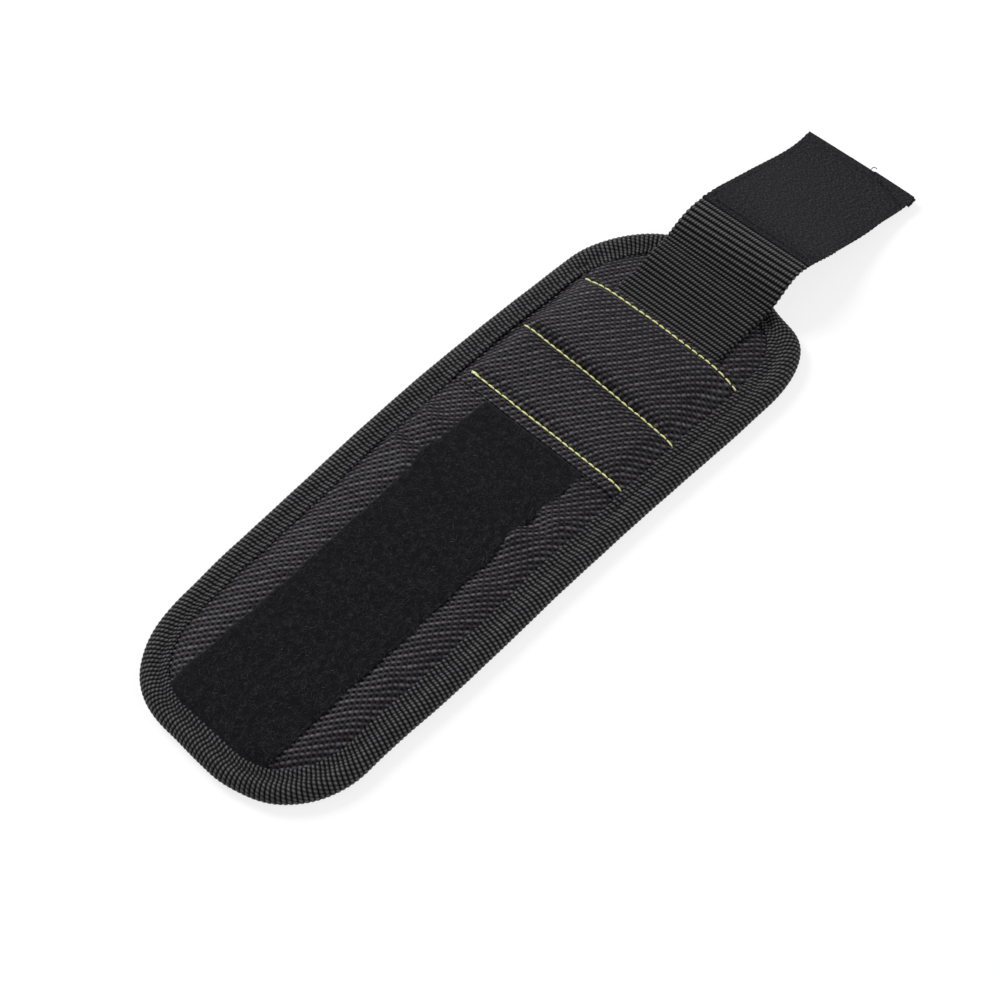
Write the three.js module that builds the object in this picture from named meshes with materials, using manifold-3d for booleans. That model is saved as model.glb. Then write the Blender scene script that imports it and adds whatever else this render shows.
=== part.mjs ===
// Padded wrist band with a loop patch, a stitched two-channel panel and a webbing strap with a hook tab.
// Millimetres, +Z up. The origin is in the middle of the wrist face, which lies on the table.
// +X runs along the band towards the strap, and +Y is the band's left side.
import * as THREE from 'three';
import { mergeVertices } from 'three/addons/utils/BufferGeometryUtils.js';
import Module from 'manifold-3d';

const wasm = await Module();
wasm.setup();

// Band outline
const bandLength = 200;
const bandWidth = 75;
const cornerRadius = 29.5;
const cornerSteps = 8;

// Clearances
const seatGap = 0.3;
const slitGap = 0.4;
const hingeGap = 0.6;
const overrun = 20;

// Cloth, foam and edge tape
const clothThickness = 0.7;
const tapeThickness = 0.9;
const tapeReach = 8;
const rimHeight = 5;
const backEase = 3;
const foamInset = 3;
const crownInset = 19;
const crownHeight = 5.6;

// Stitched panel: two closed channels across the band
const strapEndMargin = 28.5;
const panelLength = 49.5;
const hemWidth = 3;
const lowerChannelWidth = 19.25;
const middleSeamSlant = 1.5;
const upperSeamBow = 1.5;
const puffHeight = 2.3;
const puffRamp = 2.7;
const puffEndRamp = 6;
const seamLand = 0.8;

// Fold lines: where the padded band bends as it goes round the wrist
const freeEndLength = 32;
const foldBeforeSeam = 1.3;
const foldAfterPanel = 4.5;

// Magnet bars in the channels
const magnetEndGap = 0.2;
const magnetWidth = 10;
const magnetThickness = 1.6;
const magnetCorner = 1;
const upperMagnetShift = 9.25;

// Seam thread
const threadDiameter = 0.6;
const stitchLength = 2.5;
const threadDip = 0.35;
const seamEndSetback = 0.7;

// Loop patch
const patchWidth = 36;
const patchThickness = 1;
const patchShift = -0.5;

// Webbing strap and hook tab
const webbingWidth = 38;
const webbingThickness = 1.4;
const strapShift = -0.75;
const rootLength = 10.5;
const strapPivotSetback = 0.5;
const strapBaseLength = 8;
const webbingReach = 36;
const tabLength = 45;
const coverThickness = 0.7;
const hookThickness = 0.9;
const lapLength = 10;
const lapThickness = 0.6;
const hookSetback = 1.5;
const climbStart = 6;
const climbLength = 10;
const climbHeight = 0.5;
const archStart = 19;
const archRun = 15;
const archHeight = 5.3;
const fallRun = 45;
const ribbonStep = 3;

// Levels that follow from the sizes above
const backHemLevel = tapeThickness + seatGap;
const clothEdgeInset = tapeThickness + seatGap;
const fieldInset = tapeReach + seatGap;
const frontRimLevel = rimHeight - tapeThickness - seatGap;
const onFront = crownHeight + seatGap;
const panelEnd = bandLength / 2 - strapEndMargin;
const panelStart = panelEnd - panelLength;
const panelHalfWidth = bandWidth / 2 - fieldInset;
const lowerSeamX = panelStart + hemWidth;
const middleSeamX = lowerSeamX + lowerChannelWidth;
const upperSeamX = panelEnd - hemWidth;
const rootStart = panelEnd - rootLength;
const strapPivotX = panelEnd + strapPivotSetback;
const strapBendX = strapPivotX + strapBaseLength;
const tabX = strapPivotX + webbingReach;
const padFoldSpacing = ( panelStart + bandLength / 2 - freeEndLength ) / 3;
const foldLines = [
	panelStart - 3 * padFoldSpacing,
	panelStart - 2 * padFoldSpacing,
	panelStart - padFoldSpacing,
	panelStart,
	middleSeamX - middleSeamSlant / 2 - foldBeforeSeam,
	panelEnd + foldAfterPanel,
];

const cloth = ( color, roughness ) => new THREE.MeshStandardMaterial( { color, roughness, metalness: 0 } );
const nylonCloth = cloth( 0x1d1c20, 0.75 );
const liningCloth = cloth( 0x18181a, 0.85 );
const foamRubber = cloth( 0x33333a, 0.95 );
const bindingTape = cloth( 0x151517, 0.7 );
const loopPile = cloth( 0x1b1b21, 0.98 );
const strapWebbing = cloth( 0x1c1c1f, 0.65 );
const coverTape = cloth( 0x28282a, 0.8 );
const hookTape = cloth( 0x121214, 0.6 );
const yellowThread = cloth( 0xd8d484, 0.55 );
const magnetSteel = new THREE.MeshStandardMaterial( { color: 0xa9abb0, roughness: 0.35, metalness: 1 } );

const part = new THREE.Group();

// Solids and meshes

function indexedGeometry( points, triangles ) {

	const geometry = new THREE.BufferGeometry();
	geometry.setAttribute( 'position', new THREE.Float32BufferAttribute( points.flat(), 3 ) );
	geometry.setIndex( triangles.flat() );
	return geometry;

}

function solidOf( geometry ) {

	const bare = geometry.clone();
	bare.deleteAttribute( 'normal' );
	bare.deleteAttribute( 'uv' );
	const merged = mergeVertices( bare );
	return new wasm.Manifold( new wasm.Mesh( {
		numProp: 3,
		vertProperties: new Float32Array( merged.attributes.position.array ),
		triVerts: new Uint32Array( merged.index.array ),
	} ) );

}

function geometryOf( solid ) {

	const mesh = solid.getMesh();
	const geometry = new THREE.BufferGeometry();
	geometry.setAttribute( 'position', new THREE.BufferAttribute( new Float32Array( mesh.vertProperties ), 3 ) );
	geometry.setIndex( new THREE.BufferAttribute( new Uint32Array( mesh.triVerts ), 1 ) );
	return geometry;

}

function addPiece( name, geometry, material ) {

	const mesh = new THREE.Mesh( geometry, material );
	mesh.name = name;
	part.add( mesh );

}

function boxSolid( low, high ) {

	const size = high.map( ( value, axis ) => value - low[ axis ] );
	const box = new THREE.BoxGeometry( ...size );
	box.translate( ...low.map( ( value, axis ) => value + size[ axis ] / 2 ) );
	return solidOf( box );

}

// A closed surface through rings of equal point counts. With caps it is a plate, and without them a hoop.
function ringSurface( rings, capped ) {

	const count = rings[ 0 ].length;
	const points = rings.flat();
	const triangles = [];
	const spans = capped ? rings.length - 1 : rings.length;
	for ( let ring = 0; ring < spans; ring ++ ) {

		const here = ring * count;
		const next = ( ( ring + 1 ) % rings.length ) * count;
		for ( let i = 0; i < count; i ++ ) {

			const j = ( i + 1 ) % count;
			triangles.push( [ here + i, next + i, next + j ], [ here + i, next + j, here + j ] );

		}

	}

	if ( capped ) {

		const last = ( rings.length - 1 ) * count;
		for ( let i = 1; i < count - 1; i ++ ) {

			triangles.push( [ 0, i, i + 1 ], [ last, last + i + 1, last + i ] );

		}

	}

	return indexedGeometry( points, triangles );

}

// A sheet between two heights that are functions of x and y, on rows that each give x as a function of y.
function gridSheet( rowLines, ys, lowAt, highAt ) {

	const points = [];
	for ( const heightAt of [ highAt, lowAt ] ) {

		for ( const lineAt of rowLines ) for ( const y of ys ) points.push( [ lineAt( y ), y, heightAt( lineAt( y ), y ) ] );

	}

	const rows = rowLines.length;
	const columns = ys.length;
	const lower = rows * columns;
	const at = ( row, column ) => row * columns + column;
	const triangles = [];
	for ( let i = 0; i < rows - 1; i ++ ) for ( let j = 0; j < columns - 1; j ++ ) {

		const corners = [ at( i, j ), at( i + 1, j ), at( i + 1, j + 1 ), at( i, j + 1 ) ];
		const [ a, b, c, d ] = corners;
		const [ e, f, g, h ] = corners.map( ( corner ) => corner + lower );
		triangles.push( [ a, b, c ], [ a, c, d ], [ e, g, f ], [ e, h, g ] );

	}

	const wall = ( from, to ) => triangles.push( [ from, from + lower, to + lower ], [ from, to + lower, to ] );
	for ( let i = 0; i < rows - 1; i ++ ) {

		wall( at( i, 0 ), at( i + 1, 0 ) );
		wall( at( i + 1, columns - 1 ), at( i, columns - 1 ) );

	}

	for ( let j = 0; j < columns - 1; j ++ ) {

		wall( at( rows - 1, j ), at( rows - 1, j + 1 ) );
		wall( at( 0, j + 1 ), at( 0, j ) );

	}

	return indexedGeometry( points, triangles );

}

function spread( from, to, step ) {

	const count = Math.max( 1, Math.ceil( ( to - from ) / step ) );
	return Array.from( { length: count + 1 }, ( _, i ) => from + ( to - from ) * i / count );

}

const ease = ( share ) => {

	const t = THREE.MathUtils.clamp( share, 0, 1 );
	return ( 1 - Math.cos( Math.PI * t ) ) / 2;

};

// The band's outline and its height, both by the distance in from the rim

function outlineAt( inset, height ) {

	const radius = cornerRadius - inset;
	const centreX = bandLength / 2 - cornerRadius;
	const centreY = bandWidth / 2 - cornerRadius;
	const points = [];
	for ( let corner = 0; corner < 4; corner ++ ) {

		const sideX = corner === 0 || corner === 3 ? 1 : - 1;
		const sideY = corner < 2 ? 1 : - 1;
		for ( let i = 0; i <= cornerSteps; i ++ ) {

			const angle = ( corner + i / cornerSteps ) * Math.PI / 2;
			const x = sideX * centreX + radius * Math.cos( angle );
			points.push( [ x, sideY * centreY + radius * Math.sin( angle ), height ] );

		}

	}

	return points;

}

function insetOf( x, y ) {

	const beyondX = Math.abs( x ) - ( bandLength / 2 - cornerRadius );
	const beyondY = Math.abs( y ) - ( bandWidth / 2 - cornerRadius );
	const outside = Math.hypot( Math.max( beyondX, 0 ), Math.max( beyondY, 0 ) );
	return cornerRadius - outside - Math.min( Math.max( beyondX, beyondY ), 0 );

}

function frontTop( inset ) {

	const share = THREE.MathUtils.clamp( ( inset - clothEdgeInset ) / ( crownInset - clothEdgeInset ), 0, 1 );
	return frontRimLevel + ( crownHeight - frontRimLevel ) * Math.sin( share * Math.PI / 2 );

}

function backBottom( inset ) {

	return backHemLevel * ( 1 - ease( ( inset - fieldInset ) / backEase ) );

}

const backTop = ( inset ) => backBottom( inset ) + clothThickness;
const frontBottom = ( inset ) => frontTop( inset ) - clothThickness;
const frontTopAt = ( x, y ) => frontTop( insetOf( x, y ) );

// A plate of the band's outline whose top and bottom follow two heights from its edge to the flat crown.
function padLayer( edgeInset, lowAt, highAt ) {

	const easeEnd = fieldInset + backEase;
	const stops = [ ...spread( edgeInset, fieldInset, tapeReach / 2 ), ( fieldInset + easeEnd ) / 2, easeEnd,
		( easeEnd + crownInset ) / 2, crownInset ];
	const top = stops.toReversed().map( ( inset ) => outlineAt( inset, highAt( inset ) ) );
	const bottom = stops.map( ( inset ) => outlineAt( inset, lowAt( inset ) ) );
	return solidOf( ringSurface( [ ...top, ...bottom ], true ) );

}

// The ribbed edge tape: a folded strip whose two legs grip the rim of the band.
function bindingHoop() {

	const noseSteps = 6;
	const noseRadius = rimHeight / 2;
	const legTop = ( inset ) => frontTop( inset ) + seatGap + tapeThickness;
	const outer = [ [ tapeReach, legTop( tapeReach ) ], [ tapeReach / 2, legTop( tapeReach / 2 ) ] ];
	for ( let i = 0; i <= noseSteps; i ++ ) {

		const angle = Math.PI * ( 1 / 2 - i / noseSteps );
		const inset = noseRadius / 2 * ( 1 - Math.cos( angle ) );
		outer.push( [ inset, noseRadius * ( 1 + Math.sin( angle ) ) ] );

	}

	outer.push( [ tapeReach, 0 ] );
	const inner = [ [ tapeReach, tapeThickness ], [ tapeThickness, tapeThickness ],
		[ tapeThickness, rimHeight - tapeThickness ] ];
	for ( const inset of [ tapeReach / 2, tapeReach ] ) inner.push( [ inset, legTop( inset ) - tapeThickness ] );
	return solidOf( ringSurface( [ ...outer, ...inner ].map( ( [ inset, z ] ) => outlineAt( inset, z ) ), false ) );

}

// Sections between the fold lines, each cut free by a thin slit

const sectionEnds = [ - bandLength / 2 - overrun, ...foldLines, bandLength / 2 + overrun ];
const sectionNumbers = sectionEnds.map( ( _, index ) => index ).slice( 1 );
const [ , , , patchEndSection, lowerChannelSection, upperChannelSection, endSection ] = sectionNumbers;

function sectionBox( section, lowY = - bandWidth, highY = bandWidth ) {

	const low = sectionEnds[ section - 1 ] + slitGap / 2;
	const high = sectionEnds[ section ] - slitGap / 2;
	return boxSolid( [ low, lowY, - overrun ], [ high, highY, overrun ] );

}

function addSections( name, solid, first, last, material ) {

	for ( let section = first; section <= last; section ++ ) {

		addPiece( `${ name }_${ section }`, geometryOf( solid.intersect( sectionBox( section ) ) ), material );

	}

}

addSections( 'back_lining', padLayer( clothEdgeInset, backBottom, backTop ), 1, endSection, liningCloth );

addSections( 'foam_pad', padLayer( foamInset, ( inset ) => backTop( inset ) + seatGap,
	( inset ) => frontBottom( inset ) - seatGap ), 1, endSection, foamRubber );

addSections( 'front_cloth', padLayer( clothEdgeInset, frontBottom, frontTop ), 1, endSection, nylonCloth );

const binding = bindingHoop();
addPiece( 'binding_free_end', geometryOf( binding.intersect( sectionBox( 1 ) ) ), bindingTape );
addPiece( 'binding_strap_end', geometryOf( binding.intersect( sectionBox( endSection ) ) ), bindingTape );
for ( let section = 2; section < endSection; section ++ ) {

	const left = binding.intersect( sectionBox( section, 0 ) );
	const right = binding.intersect( sectionBox( section, - bandWidth, 0 ) );
	addPiece( `binding_left_${ section }`, geometryOf( left ), bindingTape );
	addPiece( `binding_right_${ section }`, geometryOf( right ), bindingTape );

}

// What lies inside the binding's inner edge, as a cutter for the patch and the panel
const field = solidOf( ringSurface( [ outlineAt( fieldInset, overrun ), outlineAt( fieldInset, 0 ) ], true ) );

// Loop patch: soft pile tape from the free end's binding to the panel's lower hem
function loopPatch() {

	const xs = spread( fieldInset - bandLength / 2, panelStart, crownInset / 5 );
	const ys = spread( patchShift - patchWidth / 2, patchShift + patchWidth / 2, patchWidth / 4 );
	const low = ( x, y ) => frontTopAt( x, y ) + seatGap;
	const rows = xs.map( ( x ) => () => x );
	const sheet = gridSheet( rows, ys, low, ( x, y ) => low( x, y ) + patchThickness );
	return solidOf( sheet ).intersect( field );

}

addSections( 'loop_patch', loopPatch(), 1, patchEndSection, loopPile );

// Stitched panel: it touches the band at three seams and puffs up over the magnets between them

const lowerSeam = () => lowerSeamX;
const middleSeam = ( y ) => middleSeamX + middleSeamSlant * y / bandWidth;
const upperSeam = ( y ) => upperSeamX + upperSeamBow * Math.cos( Math.PI * y / bandWidth );

function puffAt( x, y ) {

	const seams = [ lowerSeam( y ), middleSeam( y ), upperSeam( y ) ];
	const nearest = Math.min( ...seams.map( ( seam ) => Math.abs( x - seam ) ) );
	const share = THREE.MathUtils.clamp( ( nearest - seamLand ) / puffRamp, 0, 1 );
	const inChannel = x > seams[ 0 ] && x < seams[ 2 ];
	const endShare = ( panelHalfWidth - Math.abs( y ) ) / puffEndRamp;
	return inChannel ? puffHeight * Math.sin( share * Math.PI / 2 ) * ease( endShare ) : 0;

}

function rootLiftAt( x, y ) {

	const alongShare = ( x - rootStart + puffRamp ) / ( puffRamp - seatGap );
	const edge = webbingWidth / 2 + seatGap;
	const acrossShare = ( edge + puffRamp - Math.abs( y - strapShift ) ) / puffRamp;
	return ( webbingThickness + seatGap ) * ease( alongShare ) * ease( acrossShare );

}

const panelBottom = ( x, y ) => frontTopAt( x, y ) + seatGap + Math.max( puffAt( x, y ), rootLiftAt( x, y ) );
const panelTop = ( x, y ) => panelBottom( x, y ) + clothThickness;

function stitchedPanel() {

	const edge = webbingWidth / 2 + seatGap;
	const lifts = [ strapShift - edge - puffRamp, strapShift - edge, strapShift + edge, strapShift + edge + puffRamp ];
	const ys = [ ...spread( - panelHalfWidth, lifts[ 0 ], puffRamp ), ...spread( lifts[ 1 ], lifts[ 2 ], webbingWidth / 4 ),
		...spread( lifts[ 3 ], panelHalfWidth, puffRamp ) ];
	const beside = ( seam, offset ) => ( y ) => seam( y ) + offset;
	const away = [ seamLand, seamLand + puffRamp / 3, seamLand + puffRamp * 2 / 3, seamLand + puffRamp ];
	const before = away.toReversed().map( ( offset ) => - offset );
	const rows = [ () => panelStart, lowerSeam, ...away.map( ( offset ) => beside( lowerSeam, offset ) ),
		...before.map( ( offset ) => beside( middleSeam, offset ) ),
		...away.map( ( offset ) => beside( middleSeam, offset ) ),
		() => rootStart - puffRamp, () => rootStart - puffRamp / 2, () => rootStart - seatGap,
		...before.map( ( offset ) => beside( upperSeam, offset ) ), upperSeam, () => panelEnd ];
	return solidOf( gridSheet( rows, ys, panelBottom, panelTop ) );

}

const panel = stitchedPanel();
addPiece( 'panel_lower_channel', geometryOf( panel.intersect( sectionBox( lowerChannelSection ) ) ), nylonCloth );
addPiece( 'panel_upper_channel', geometryOf( panel.intersect( sectionBox( upperChannelSection ) ) ), nylonCloth );

// Magnet bars: one closed in each channel
function magnetBar( centreX ) {

	const halfWidth = magnetWidth / 2 - magnetCorner;
	const halfLength = panelHalfWidth - puffEndRamp - magnetEndGap - magnetCorner;
	const shape = new THREE.Shape();
	shape.absarc( halfWidth, halfLength, magnetCorner, 0, Math.PI / 2 );
	shape.absarc( - halfWidth, halfLength, magnetCorner, Math.PI / 2, Math.PI );
	shape.absarc( - halfWidth, - halfLength, magnetCorner, Math.PI, Math.PI * 3 / 2 );
	shape.absarc( halfWidth, - halfLength, magnetCorner, Math.PI * 3 / 2, Math.PI * 2 );
	const bar = new THREE.ExtrudeGeometry( shape, { depth: magnetThickness, bevelEnabled: false, curveSegments: 3 } );
	return bar.translate( centreX, 0, onFront );

}

addPiece( 'magnet_lower', magnetBar( ( lowerSeamX + middleSeamX ) / 2 ), magnetSteel );
addPiece( 'magnet_upper', magnetBar( middleSeamX + upperMagnetShift ), magnetSteel );

// Seam threads: one lockstitched row each, dipping into the cloth at every stitch
function seamThread( seamAt ) {

	const seamLength = 2 * ( panelHalfWidth - seamEndSetback );
	const stitches = Math.round( seamLength / stitchLength );
	const radius = threadDiameter / 2;
	const points = [];
	for ( let i = 0; i <= 2 * stitches; i ++ ) {

		const y = seamLength / 2 - i * seamLength / ( 2 * stitches );
		const rise = i % 2 === 0 ? 0 : threadDip;
		points.push( new THREE.Vector3( seamAt( y ), y, panelTop( seamAt( y ), y ) + seatGap + radius + rise ) );

	}

	const section = new THREE.Shape();
	section.absarc( 0, 0, radius, 0, Math.PI * 2 );
	const path = new THREE.CatmullRomCurve3( points );
	return new THREE.ExtrudeGeometry( section, { steps: 2 * stitches, extrudePath: path, curveSegments: 5 } );

}

addPiece( 'seam_lower', seamThread( lowerSeam ), yellowThread );
addPiece( 'seam_middle', seamThread( middleSeam ), yellowThread );
addPiece( 'seam_upper', seamThread( upperSeam ), yellowThread );

// Strap: it lies on the band, climbs over the end binding, arches clear of it and comes down to the table

const hookDrop = hookThickness + seatGap - lapThickness / 2;

function strapUnderside( x ) {

	const along = x - strapPivotX;
	const climb = climbHeight * ease( ( along - climbStart ) / climbLength );
	const arch = archHeight * ease( ( along - archStart ) / archRun );
	const crest = onFront + climbHeight + archHeight;
	const fall = ( crest - hookDrop ) * ease( ( along - archStart - archRun ) / fallRun );
	return onFront + climb + arch - fall;

}

// A strip along the strap between two offsets square to its underside.
function strapStrip( fromX, toX, lowOffset, highOffset, width ) {

	const step = slitGap;
	const rings = spread( fromX, toX, ribbonStep ).map( ( x ) => {

		const slope = ( strapUnderside( x + step ) - strapUnderside( x - step ) ) / ( 2 * step );
		const normal = new THREE.Vector2( - slope, 1 ).normalize();
		const corner = ( offset, side ) => [ x + normal.x * offset, strapShift + side * width / 2,
			strapUnderside( x ) + normal.y * offset ];
		return [ corner( lowOffset, - 1 ), corner( lowOffset, 1 ), corner( highOffset, 1 ), corner( highOffset, - 1 ) ];

	} );
	return ringSurface( rings.toReversed(), true );

}

const tabStart = tabX + hingeGap / 2;
const tabEnd = tabX + tabLength;
addPiece( 'webbing_root', strapStrip( rootStart, strapPivotX - hingeGap / 2, 0, webbingThickness, webbingWidth ), strapWebbing );
addPiece( 'webbing_base', strapStrip( strapPivotX + hingeGap / 2, strapBendX - hingeGap / 2, 0, webbingThickness,
	webbingWidth ), strapWebbing );
addPiece( 'webbing_span', strapStrip( strapBendX + hingeGap / 2, tabX - hingeGap / 2, 0, webbingThickness,
	webbingWidth ), strapWebbing );
addPiece( 'webbing_lap', strapStrip( tabStart, tabStart + lapLength, lapThickness / 2, lapThickness * 3 / 2,
	webbingWidth - hookSetback ), strapWebbing );
addPiece( 'hook_tape', strapStrip( tabStart + hookSetback, tabEnd - hookSetback, - hookDrop, hookThickness - hookDrop,
	webbingWidth - hookSetback ), hookTape );
addPiece( 'tab_cover', strapStrip( tabStart, tabEnd, lapThickness * 3 / 2 + seatGap,
	lapThickness * 3 / 2 + seatGap + coverThickness, webbingWidth ), coverTape );

export default part;
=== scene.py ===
import bpy
import numpy as np
from mathutils import Matrix


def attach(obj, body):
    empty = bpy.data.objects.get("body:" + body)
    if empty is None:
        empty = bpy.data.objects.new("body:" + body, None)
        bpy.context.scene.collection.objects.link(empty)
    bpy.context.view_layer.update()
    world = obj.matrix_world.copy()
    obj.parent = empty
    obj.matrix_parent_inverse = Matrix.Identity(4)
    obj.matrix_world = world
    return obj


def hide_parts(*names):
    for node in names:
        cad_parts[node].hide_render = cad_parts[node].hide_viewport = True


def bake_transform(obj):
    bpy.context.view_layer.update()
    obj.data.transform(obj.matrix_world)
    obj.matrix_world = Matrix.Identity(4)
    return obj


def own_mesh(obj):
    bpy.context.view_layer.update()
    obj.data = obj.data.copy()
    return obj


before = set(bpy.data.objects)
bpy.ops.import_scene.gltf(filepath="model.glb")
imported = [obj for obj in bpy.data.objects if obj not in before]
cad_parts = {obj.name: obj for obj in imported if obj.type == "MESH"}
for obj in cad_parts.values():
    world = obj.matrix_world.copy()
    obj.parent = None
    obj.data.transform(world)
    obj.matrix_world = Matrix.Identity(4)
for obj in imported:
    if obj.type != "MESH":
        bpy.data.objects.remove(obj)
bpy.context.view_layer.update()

scene = bpy.context.scene
scene.view_settings.view_transform = "Standard"

# Camera: it looks down on the band from over its right-hand edge, half a metre away, a little rolled,
# as the photograph does. Points and sizes are in millimetres in this whole file.
MM = 0.001
CAMERA_DISTANCE = 500
aim = np.array([0.0, 0.0, 4.0])
heading, height_angle, roll = np.radians([-32.75, 56.36, -13.42])
level = np.array([np.cos(heading), np.sin(heading), 0.0])
away = np.array([np.sin(heading), -np.cos(heading), 0.0])
back = away * np.cos(height_angle) + np.array([0.0, 0.0, np.sin(height_angle)])
above = np.cross(back, level)
picture_right = np.cos(roll) * level + np.sin(roll) * above
picture_up = np.cos(roll) * above - np.sin(roll) * level


def facing(place, across, upward, towards):
    """The matrix of a camera or lamp at place, with its own X, Y and Z along the three directions."""
    columns = [across, upward, towards, place * MM]
    return Matrix([[float(c[i]) for c in columns] for i in range(3)] + [[0, 0, 0, 1]])


lens = bpy.data.cameras.new("photo_camera")
lens.lens = 68.94
lens.sensor_width = 36
lens.shift_x = 0.02254
lens.shift_y = -0.00595
lens.clip_end = 50
camera = bpy.data.objects.new("photo_camera", lens)
camera.matrix_world = facing(aim + CAMERA_DISTANCE * back, picture_right, picture_up, back)
scene.collection.objects.link(camera)
scene.camera = camera


# Light: one large soft lamp over the picture's upper left, a weaker one on the right, and an even sky.
def softbox(name, direction, distance, width, watts):
    """A square area lamp on the line from the band along direction, facing the band."""
    towards = direction / np.linalg.norm(direction)
    across = np.cross([0.0, 0.0, 1.0], towards)
    across /= np.linalg.norm(across)
    lamp = bpy.data.lights.new(name, "AREA")
    lamp.size = width * MM
    lamp.energy = watts
    holder = bpy.data.objects.new(name, lamp)
    holder.matrix_world = facing(aim + distance * towards, across, np.cross(towards, across), towards)
    scene.collection.objects.link(holder)


softbox("key_softbox", 0.83 * picture_up - 0.6 * picture_right + 0.28 * back, 1300, 480, 10.0)
softbox("fill_softbox", 0.9 * picture_right - 0.1 * picture_up + 0.7 * back, 1500, 1100, 8.5)


def node(tree, kind, settings=None, **inputs):
    """Adds a shader node. settings sets its properties. inputs sets or joins its sockets, by name with _ for
    a space, or by number as i0, i1 and i2."""
    new = tree.nodes.new("ShaderNode" + kind)
    for key, value in (settings or {}).items():
        setattr(new, key, value)
    for key, value in inputs.items():
        by_number = key[0] == "i" and key[1:].isdigit()
        socket = new.inputs[int(key[1:]) if by_number else key.replace("_", " ")]
        if isinstance(value, bpy.types.NodeSocket):
            tree.links.new(value, socket)
        else:
            socket.default_value = value
    return new


def math(tree, operation, *values):
    """The result of a Math node on its values, which are numbers or output sockets."""
    sockets = {f"i{number}": value for number, value in enumerate(values)}
    return node(tree, "Math", {"operation": operation}, **sockets).outputs[0]


def mixed(tree, share, kind, first, second):
    """A mix of two white shaders of one kind, of the two strengths: the second one where share is 1."""
    white = {"Color": (1, 1, 1, 1)}
    shaders = [node(tree, kind, **white, Strength=strength).outputs[0] for strength in (first, second)]
    return node(tree, "MixShader", i0=share, i1=shaders[0], i2=shaders[1]).outputs[0]


def seen_directly(tree):
    """1 for rays from the camera, from glossy surfaces and through clear ones, and 0 for all others."""
    path = node(tree, "LightPath").outputs
    direct = path["Is Camera Ray"]
    for kind in ("Is Glossy Ray", "Is Transmission Ray"):
        direct = math(tree, "MAXIMUM", direct, path[kind])
    return direct


world = bpy.data.worlds.new("white_room")
world.use_nodes = True
scene.world = world
sky = world.node_tree
sky.nodes.clear()
node(sky, "OutputWorld", Surface=mixed(sky, seen_directly(sky), "Background", 0.3, 1.0))


# Table: a plain white top that keeps the band's soft shadow. When the band curls, its ring hangs below the
# wrist face.
def new_material(name, color, roughness, **others):
    """A material with one Principled shader, its other inputs given by name with _ for a space. Returns the
    material, its node tree and the shader."""
    material = bpy.data.materials.new(name)
    material.use_nodes = True
    shader = material.node_tree.nodes["Principled BSDF"]
    for key, value in {"Base_Color": (*color, 1), "Roughness": roughness, **others}.items():
        shader.inputs[key.replace("_", " ")].default_value = value
    return material, material.node_tree, shader


def mesh_object(name, points, faces, material, uv=None, relief=None, flat=()):
    """A mesh from points in millimetres and a list of face arrays, each (count, corners).

    uv is in millimetres and is stored divided by ten. flat holds the numbers of the arrays in faces that
    are shaded flat, such as a cut wall beside a smooth face.
    """
    corners = np.concatenate([f.ravel() for f in faces])
    used, corners = np.unique(corners, return_inverse=True)
    sizes = np.concatenate([np.full(len(f), f.shape[1]) for f in faces])
    smooth = np.concatenate([np.full(len(f), i not in flat) for i, f in enumerate(faces)])
    mesh = bpy.data.meshes.new(name)
    mesh.vertices.add(len(used))
    mesh.vertices.foreach_set("co", (points[used] * MM).ravel().astype(np.float32))
    mesh.loops.add(len(corners))
    mesh.loops.foreach_set("vertex_index", corners.astype(np.int32))
    mesh.polygons.add(len(sizes))
    mesh.polygons.foreach_set("loop_start", (np.cumsum(sizes) - sizes).astype(np.int32))
    mesh.polygons.foreach_set("use_smooth", smooth)
    if uv is not None:
        layer = mesh.uv_layers.new(name="cloth_mm")
        layer.data.foreach_set("uv", (uv[used][corners] / 10).ravel().astype(np.float32))
    if relief is not None:
        attribute = mesh.attributes.new("relief", "FLOAT", "POINT")
        attribute.data.foreach_set("value", relief[used].astype(np.float32))
    mesh.update(calc_edges=True)
    edge_of_corner = np.zeros(len(corners), np.int32)
    mesh.loops.foreach_get("edge_index", edge_of_corner)
    sharp = np.zeros(len(mesh.edges), bool)
    sharp[edge_of_corner[~np.repeat(smooth, sizes)]] = True
    mesh.attributes.new("sharp_edge", "BOOLEAN", "EDGE").data.foreach_set("value", sharp)
    mesh.materials.append(material)
    made = bpy.data.objects.new(name, mesh)
    scene.collection.objects.link(made)
    return made


TABLE_HALF = 6000.0
TABLE_LEVEL = -0.3
table_white, tree, shader = new_material("table_white", (0.33, 0.33, 0.33), 0.9, Specular_IOR_Level=0.1)
glow = mixed(tree, seen_directly(tree), "Emission", 0.0, 0.77)
both = node(tree, "AddShader", i0=shader.outputs[0], i1=glow)
tree.links.new(both.outputs[0], tree.nodes["Material Output"].inputs["Surface"])
corners = np.array([[-1, -1, 0], [1, -1, 0], [1, 1, 0], [-1, 1, 0]]) * TABLE_HALF + [0, 0, TABLE_LEVEL]
table = mesh_object("table", corners, [np.array([[0, 1, 2, 3]])], table_white)
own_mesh(table)
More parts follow.
